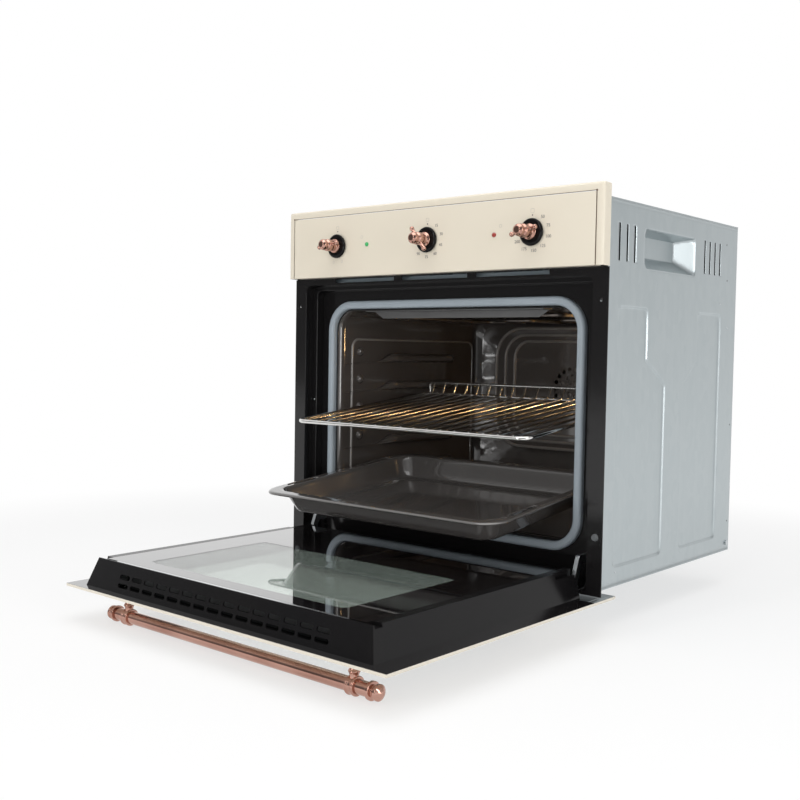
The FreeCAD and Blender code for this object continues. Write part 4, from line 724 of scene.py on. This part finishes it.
def cover_beads():
    """Nested pressed ridges on the fan cover: a rounded bead along each rounded rectangle."""
    low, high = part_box("fan_cover")
    loops = []
    for step in range(3):
        inset, rise = COVER_INSET + step * COVER_STEP_X, COVER_INSET + step * COVER_STEP_Z
        line = ring(COVER_HALF - inset, low.z / MM + rise, high.z / MM - rise, COVER_CORNER - rise, 14, 12, 8)
        loops.append(bead(line, low.y / MM + COVER_FACE, 1, COVER_BEAD_R, 14))
    # the beads take the pale enamel: a painted highlight along them
    piece("fan_cover_beads", loops, bead_highlight_enamel, "oven_body")


oven_lining()
wall_beads()
shelf_ridges("shelf_runners_left", -1)
shelf_ridges("shelf_runners_right", 1)
cover_beads()


# Frame's rolled edges: half width, lowest, highest, corner radius, place in y, whether a bead runs all round
FRAME_EDGES = ((274, 5.5, 432.5, 14, -0.4, True), (266, 5.5, 424.5, 8, 18.9, False),
               (231, 63, 391, 30, 34.2, True))
EDGE_OUT, EDGE_R = 0.9, 1.1


def frame_edges():
    """Rolled edges of the pressed frame: a fine bead round the recess and the oven mouth, and one up and over
    the recess's step."""
    loops = []
    for half, low, high, radius, y, round_all in FRAME_EDGES:
        line = ring(half + EDGE_OUT, low - EDGE_OUT, high + EDGE_OUT, radius + EDGE_OUT, 10, 6, 6)
        if not round_all:
            line = line[line[:, 1] > low + radius - 0.1]
        loops.append(bead(line, y, 1, EDGE_R, 10, round_all))
    piece("frame_edges", loops, black, "oven_body")


frame_edges()


# Small fittings: grommets, rivets, dark sheets of painted shade behind the vents and the rail's slots, a brown
# line of painted shade in the panel's groove, beads

GROMMET, GROMMET_PLACE = ((0, 0), (0, 4.6), (4, 4.6), (4, 0)), (286.5, 0.2, 402.0)
FRAME_RIVET = (270.5, 18.0, 242.0)
SIDE_RIVETS = ((399, 411), (429.5, 373), (73.5, 20))
SCREW_MARKS = ((419, 508), (424, 450), (452, 212), (449, 16), (452, 50))
# Dark sheets behind the side vents, painted shade of the casing's inside: their spans in y, span in z, way in
# and bow
VENT_SHADE_Y, VENT_SHADE_Z, VENT_SHADE_IN, VENT_SHADE_BOW = ((56, 113), (330, 400)), (450, 514), 2.6, 0.5
OUTLET_HALF, OUTLET_Y, OUTLET_Z, OUTLET_BACK, OUTLET_RISE = 222, 4, 434.6, 10, 7.6
# Dark sheet in the door's rail, painted shade behind its slots: half width, place in y, span in z
RAIL_SHADE_HALF, RAIL_SHADE_Y, RAIL_SHADE_Z = 206, -398.2, (-3.4, 28.4)
GROOVE_SHADE_R = 0.42
REAR_BEAD, TOP_BEAD, CASING_BEAD_R, CASING_BEAD_IN = (236, 40, 410, 26), (232, 60, 420, 30), 3.4, 1.9
LOUVRE, LOUVRE_X, LOUVRE_Z = (24, 3.2, 4.2), range(-180, 181, 60), (330, 350)


def button(radius, proud, place, axis, sunk=0.4):
    """Low domed head on a surface."""
    keys = [(-sunk, 0), (-sunk, radius), (proud * 0.35, radius), (proud * 0.85, radius * 0.72),
            (proud, radius * 0.3), (proud, 0)]
    return turned(keys, place, axis, 24, 30, radius * 0.3)


def mirrored(place, side):
    return side * place[0], *place[1:]


def fasteners():
    """Grommets behind the fixing holes, rivets on the frame and the casing, and black discs on the casing at the
    screw marks, painted shade of the holes.
    """
    grommets = [turned(GROMMET, mirrored(GROMMET_PLACE, side), (0, 1, 0), 24) for side in SIDES]
    piece("fixing_grommets", grommets, moulded_black, "oven_body")
    rivets = [button(1.5, 0.7, mirrored(FRAME_RIVET, side), (0, -1, 0)) for side in SIDES]
    rivets += [button(1.6, 0.8, (side * SIDE_X, *at), (side, 0, 0)) for side in (1, -1) for at in SIDE_RIVETS]
    piece("rivets", rivets, zinc, "oven_body")
    # black discs at the screw marks: painted shade of the holes
    marks = [button(1.5, 0.12, (side * SIDE_X, *at), (side, 0, 0), 0.2)
             for side in SIDES for at in SCREW_MARKS]
    piece("screw_hole_shade", marks, moulded_black, "oven_body")


def thin_sheets():
    """Slightly bowed dark sheets behind the vents, painted shade of the casing's inside; the outlet's inner
    sheet bent back by a sine;
    and a flat dark sheet in the rail, painted shade behind its slots."""
    shade_sheets = []
    for side in SIDES:
        for near, far in VENT_SHADE_Y:
            y, z = np.meshgrid(np.linspace(near, far, 24), np.linspace(*VENT_SHADE_Z, 16))
            rise = np.sin((z - VENT_SHADE_Z[0]) / (VENT_SHADE_Z[1] - VENT_SHADE_Z[0]) * np.pi)
            bow = VENT_SHADE_IN + VENT_SHADE_BOW * np.sin((y - near) / (far - near) * np.pi) * rise
            shade_sheets.append(sheet(np.stack([side * (SIDE_X - bow), y, z], -1) * MM, flip=side > 0))
    # dark sheets behind the vents: painted shade of the casing's inside
    piece("vent_shade_sheet", shade_sheets, moulded_black, "oven_body", closed=False, wall=0.4)
    x, share = np.meshgrid(np.linspace(-OUTLET_HALF, OUTLET_HALF, 40), np.linspace(0, 1, 12))
    back = OUTLET_Y + OUTLET_BACK * np.sin(share * np.pi / 2)
    outlet = sheet(np.stack([x, back, OUTLET_Z + OUTLET_RISE * share], -1) * MM, flip=True)
    piece("outlet_sheet", [outlet], duct_grey, "oven_body", closed=False, wall=0.4)
    # a flat dark sheet in the door's rail: painted shade behind its slots
    x, z = np.meshgrid(np.linspace(-RAIL_SHADE_HALF, RAIL_SHADE_HALF, 30), np.linspace(*RAIL_SHADE_Z, 8))
    dark_rail_sheet = sheet(np.stack([x, np.full_like(x, RAIL_SHADE_Y), z], -1) * MM)
    piece("rail_slot_shade", [dark_rail_sheet], slot_shade_grey, "door", closed=False, wall=0.6)


def panel_groove_shade_and_pins():
    """Dark brown line in the gap between the panel's plate and its border, painted shade of the groove, with a
    brown pin at each upper corner.
    """
    x, low, high, y = PANEL_HALF - BORDER, PANEL_LOW + 0.5, PANEL_HIGH - BORDER, PANEL_FRONT + 0.1
    turns = ((-x, y, low), (-x, y, high), (x, y, high), (x, y, low))
    runs = [tube(np.linspace(a, b, 12) * MM, GROOVE_SHADE_R, 8, looped=False) for a, b in zip(turns, turns[1:])]
    pins = [button(1.5, 0.35, (side * x, y - 0.2, high), (0, -1, 0)) for side in SIDES]
    # the brown line is painted shade of the groove; the pins share its colour
    piece("panel_groove_shade_and_pins", runs + pins, groove_shade_and_pin_brown, "oven_body")


def casing_beads():
    """Stiffening beads pressed out of the rear and top sheets: a low round bead along a rounded rectangle,
    and half ellipsoid louvres in two rows on the rear sheet."""
    rear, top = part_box("rear_cover")[1].y / MM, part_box("top_cover")[1].z / MM
    beads = [bead(ring(*REAR_BEAD, 10, 12, 10), rear - CASING_BEAD_IN, 1, CASING_BEAD_R, 14),
             bead(ring(*TOP_BEAD, 10, 12, 10), top - CASING_BEAD_IN, 2, CASING_BEAD_R, 14)]
    turn, rise = np.meshgrid(np.linspace(0, 2 * np.pi, 33), np.linspace(0, np.pi / 2, 8))
    dome = np.stack([np.cos(turn) * np.cos(rise), np.sin(rise), np.sin(turn) * np.cos(rise)], -1) * LOUVRE
    louvres = [sheet((dome + (x, rear - 0.2, z)) * MM) for x in LOUVRE_X for z in LOUVRE_Z]
    piece("casing_beads", beads, galvanised, "oven_body")
    piece("rear_louvres", louvres, galvanised, "oven_body", closed=False, crease=60)


fasteners()
thin_sheets()
panel_groove_shade_and_pins()
casing_beads()


# Baking tray: lofted rings, drawn out by its travel

TRAY_HALF, TRAY_NEAR, TRAY_FAR, TRAY_TOP, TRAY_CORNER, TRAY_SHEET = 222.0, 48.8, 388.8, 131.8, 34.0, 1.4
# Inset from the rim and height over it, from the rolled rim over the lip and down the wall to the floor
TRAY_ROWS = ((0.0, -1.5), (-0.2, -0.7), (0.4, 0.0), (3, 0.35), (6, 0.35), (9, 0.2), (12, 0.35), (15, 0.3),
             (17, -0.3), (18.4, -1.6), (20, -5.0), (24, -14.0), (28, -23.0), (31.5, -30.0), (34, -33.0),
             (38, -34.4), (44, -34.8), (50, -34.6), (56, -33.9), (70, -33.8), (110, -33.6), (160, -33.5))
SLOT_STARTS, SLOT_LENGTH, SLOT_INSET, SLOT_HALF = (TRAY_NEAR + 50, TRAY_FAR - 112), 62.0, 9.5, 4.6
SLOT_BEAD_INSET, SLOT_BEAD_R = 10.5, 1.2


def travelled(points, joint):
    """Turns points drawn in the stored place to the drawn-out rest place, about the joint's far pole."""
    pole, angle = np.array(JOINTS[joint]["pos_m"]), math.radians(JOINTS[joint]["range_deg"][1])
    turn = np.array(Matrix.Rotation(angle, 3, "X"))
    return (points - pole) @ turn.T + pole


def tray_dish():
    """Tray: rounded rings from the rolled rim over the lip, down the sloping wall to the slightly raised
    floor, with two slots in each side of the lip, each rimmed by a bead."""
    loops = []
    for inset, drop in TRAY_ROWS:
        corner = max(TRAY_CORNER - inset * 0.35, 6)
        line = ring(TRAY_HALF - inset, TRAY_NEAR + inset, TRAY_FAR - inset, corner, 10, 24, 40)
        loops.append(np.insert(line, 2, TRAY_TOP + drop, axis=1))
    points = np.stack(loops)
    middle = np.repeat(points[-1].mean(0)[None], points.shape[1], 0)
    points = np.concatenate([points, middle[None]])
    centre = (points[1:, :, :2] + points[:-1, :, :2]) / 2
    centre = (centre + np.roll(centre, -1, 1)) / 2
    wide = abs(abs(centre[..., 0]) - (TRAY_HALF - SLOT_INSET)) < SLOT_HALF
    slot = sum((centre[..., 1] > y) & (centre[..., 1] < y + SLOT_LENGTH) for y in SLOT_STARTS) > 0
    points = travelled(points * MM, "tray_travel")
    dish = sheet(points, wrap_columns=True, keep=~(wide & slot))
    piece("tray_dish", [dish], tray_enamel, "tray", ["baking_tray"], closed=False,
          wall=TRAY_SHEET, crease=50)
    beads = []
    for side in SIDES:
        for start in SLOT_STARTS:
            line = ring(5.4, start - 2, start + SLOT_LENGTH + 2, 5.2, 8, 2, 12)
            line = line + (side * (TRAY_HALF - SLOT_BEAD_INSET), 0)
            path = np.insert(line, 2, TRAY_TOP + 0.5, axis=1) * MM
            beads.append(tube(travelled(path, "tray_travel"), SLOT_BEAD_R, 8, across=(0, 0, 1)))
    piece("tray_slot_beads", beads, tray_enamel, "tray")


tray_dish()


# Dial marks: figures from a first angle in equal steps, small outlined signs and a pointer dot over each dial

DIALS = ((0.0, ("15", "30", "45", "60", "75", "90"), 52.0, -36.0),
         (186.0, ("50", "75", "100", "125", "150", "175", "200", "250"), 52.0, -34.0))
FIGURE_ACROSS, FIGURE_UP, FIGURE_SIZE = 27.5, 25.5, 6.2
SIGNS = ((-186, 29.5, 2.6), (0, 29.5, 2.6), (186, 29.5, 2.8), (-133, 12, 2.0), (133, 12, 2.0),
         (-194, -25, 1.6), (-176, -25, 1.6))  # x, height over the knobs' middle, half size
SIGN_R, DOT, DOT_UP = 0.20, ((0, 0), (0, 1.1), (0.12, 1.0), (0.12, 0)), 23.5


def numeral(text, x, z):
    """Flat numeral: its outline is filled, stood upright and laid on the panel's face."""
    curve = bpy.data.curves.new("numeral", "FONT")
    curve.body, curve.size, curve.align_x, curve.align_y = text, FIGURE_SIZE * MM, "CENTER", "CENTER"
    curve.extrude, curve.resolution_u = 0.06 * MM, 3
    flat = bpy.data.objects.new("numeral", curve)
    mesh = bpy.data.meshes.new_from_object(flat)
    bpy.data.objects.remove(flat)
    place = Matrix.Translation((x * MM, (PANEL_FRONT - 0.1) * MM, z * MM))
    mesh.transform(place @ Matrix.Rotation(math.pi / 2, 4, "X"))
    return mesh


def dial_marks():
    """Grey figures on a flattened circle round two dials, pale rounded squares, and a dot over each knob."""
    work = bmesh.new()
    for x, words, first, step in DIALS:
        for count, text in enumerate(words):
            angle = math.radians(first + step * count)
            across, up = FIGURE_ACROSS * math.cos(angle), FIGURE_UP * math.sin(angle)
            work.from_mesh(numeral(text, x + across, KNOB_Z + up))
    mesh = bpy.data.meshes.new("dial_figures")
    work.to_mesh(mesh)
    work.free()
    fixed_on("dial_figures", mesh, grey_ink, "oven_body")
    signs = []
    for x, z, half in SIGNS:
        line = ring(half, z - half, z + half, half * 0.45, 5, 2, 2) + (x, KNOB_Z)
        signs.append(bead(line, PANEL_FRONT - 0.02, 1, SIGN_R, 8))
    piece("dial_signs", signs, pale_ink, "oven_body")
    dots = [turned(DOT, (x, PANEL_FRONT + 0.02, KNOB_Z + DOT_UP), (0, -1, 0), 24) for x, _ in KNOBS.values()]
    piece("dial_dots", dots, grey_ink, "oven_body")


dial_marks()


# Floor, light and camera, in metres and watts

FLOOR_Z, FLOOR_REACH = -0.058, 6.0
LENS, SENSOR, CAMERA_AT = 46.659, 36.0, (0.98506, -1.22454, 0.32687)
CAMERA_AXES = ((0.7589, 0.6510, 0.0165), (-0.0436, 0.0255, 0.9987), (0.6497, -0.7587, 0.0477))
# Soft lamps: place, what each faces, width, height, power
LAMPS = {"overhead": ((0.3, -0.4, 2.4), (0, 0, 0.2), 2.4, 2.4, 30),
         "front": ((-0.25, -2.6, 0.85), (0, 0, 0.3), 0.4, 1.7, 16),
         "right_front": ((2.0, -0.66, 0.52), (0.1, 0.15, 0.3), 0.5, 1.1, 9)}
OVEN_LIGHT_AT, OVEN_LIGHT_POWER, OVEN_LIGHT_COLOUR = (0.206, 0.372, 0.332), 0.34, (1.0, 0.62, 0.28)


class Surroundings(Finish):
    """The world around the stage, with the same node methods."""

    def __init__(self, name):
        world = bpy.data.worlds.new(name)
        world.use_nodes = True
        self.tree = world.node_tree
        self.shader = self.tree.nodes["Background"]
        bpy.context.scene.world = world


def studio():
    """White room for what is seen or looked through; mirrored, it is dim in front and low, and brightest to
    the right."""
    room = Surroundings("studio")
    way = room.node("ShaderNodeSeparateXYZ", {}, [room.node("ShaderNodeTexCoord", {}, [])]).socket.node
    x, y, z = (Value(room, way.outputs[i]) for i in range(3))
    front, right = (y * -1.0).rise(0.2, 0.7), x.rise(0.55, 0.95)
    low = 1 - z.rise(0.25, 0.8)
    glossy = room.path("Glossy")
    shown = 1.0 - x.rise(0.2, 0.5) * z.rise(-0.25, 0.45) * 0.5 + right * 0.15
    shown = shown * (1 - front * low * (1 - right) * 0.85)
    level = room.path("Camera", "Transmission").higher(glossy * shown).higher((1 - glossy) * 0.55)
    room.feed("Color", (1.0, 1.0, 1.0))
    room.feed("Strength", level)


def placed(name, data):
    """A lamp or camera put into the scene."""
    made = bpy.data.objects.new(name, data)
    bpy.context.scene.collection.objects.link(made)
    return made


def soft_panel(name, place, aim, width, height, power):
    """Lamp of a given width and height that faces a point."""
    lamp = bpy.data.lights.new(name, "AREA")
    lamp.shape, lamp.size, lamp.size_y, lamp.energy = "RECTANGLE", width, height, power
    made = placed(name, lamp)
    made.location = place
    made.rotation_euler = (Vector(aim) - Vector(place)).to_track_quat("-Z", "Y").to_euler()


def oven_light():
    """Small warm lamp in front of the oven light's glass."""
    lamp = bpy.data.lights.new("oven_light", "POINT")
    lamp.energy, lamp.color, lamp.shadow_soft_size = OVEN_LIGHT_POWER, OVEN_LIGHT_COLOUR, 0.012
    placed("oven_light", lamp).location = OVEN_LIGHT_AT


def floor():
    """Wide pale floor just under the handle: lit near the oven so that it takes the shadow, plain white
    farther off."""
    mesh = bpy.data.meshes.new("floor")
    corners = ((-1, -1), (1, -1), (1, 1), (-1, 1))
    mesh.from_pydata([(x * FLOOR_REACH, y * FLOOR_REACH, FLOOR_Z) for x, y in corners], [], [(0, 1, 2, 3)])
    paint = Finish("pale_floor", Roughness=0.9, Specular_IOR_Level=0.0)
    paint.feed("Base Color", paint.blend(paint.noise(3, detail=2), (0.92, 0.92, 0.92), (0.94, 0.94, 0.94)))
    x, y, _ = paint.axes()
    far = (x * x + y * y).rise(0.7, 2.2)
    share = paint.path("Camera", "Glossy", "Transmission") * (0.62 + far * 0.38)
    white = paint.node("ShaderNodeEmission", {}, {"Color": (1, 1, 1, 1), "Strength": 1.0})
    paint.cover(share, Value(paint, paint.shader.outputs[0]), white)
    mesh.materials.append(paint.material)
    placed("floor", mesh)


def camera():
    """Camera at the photograph's place: its axes are the columns of the turn."""
    view = bpy.data.cameras.new("camera")
    view.lens, view.sensor_width = LENS, SENSOR
    made = placed("camera", view)
    made.matrix_world = Matrix.Translation(CAMERA_AT) @ Matrix(CAMERA_AXES).transposed().to_4x4()
    bpy.context.scene.camera = made


studio()
floor()
camera()
for name, settings in LAMPS.items():
    soft_panel(name, *settings)
oven_light()
bpy.context.scene.view_settings.view_transform = "Standard"
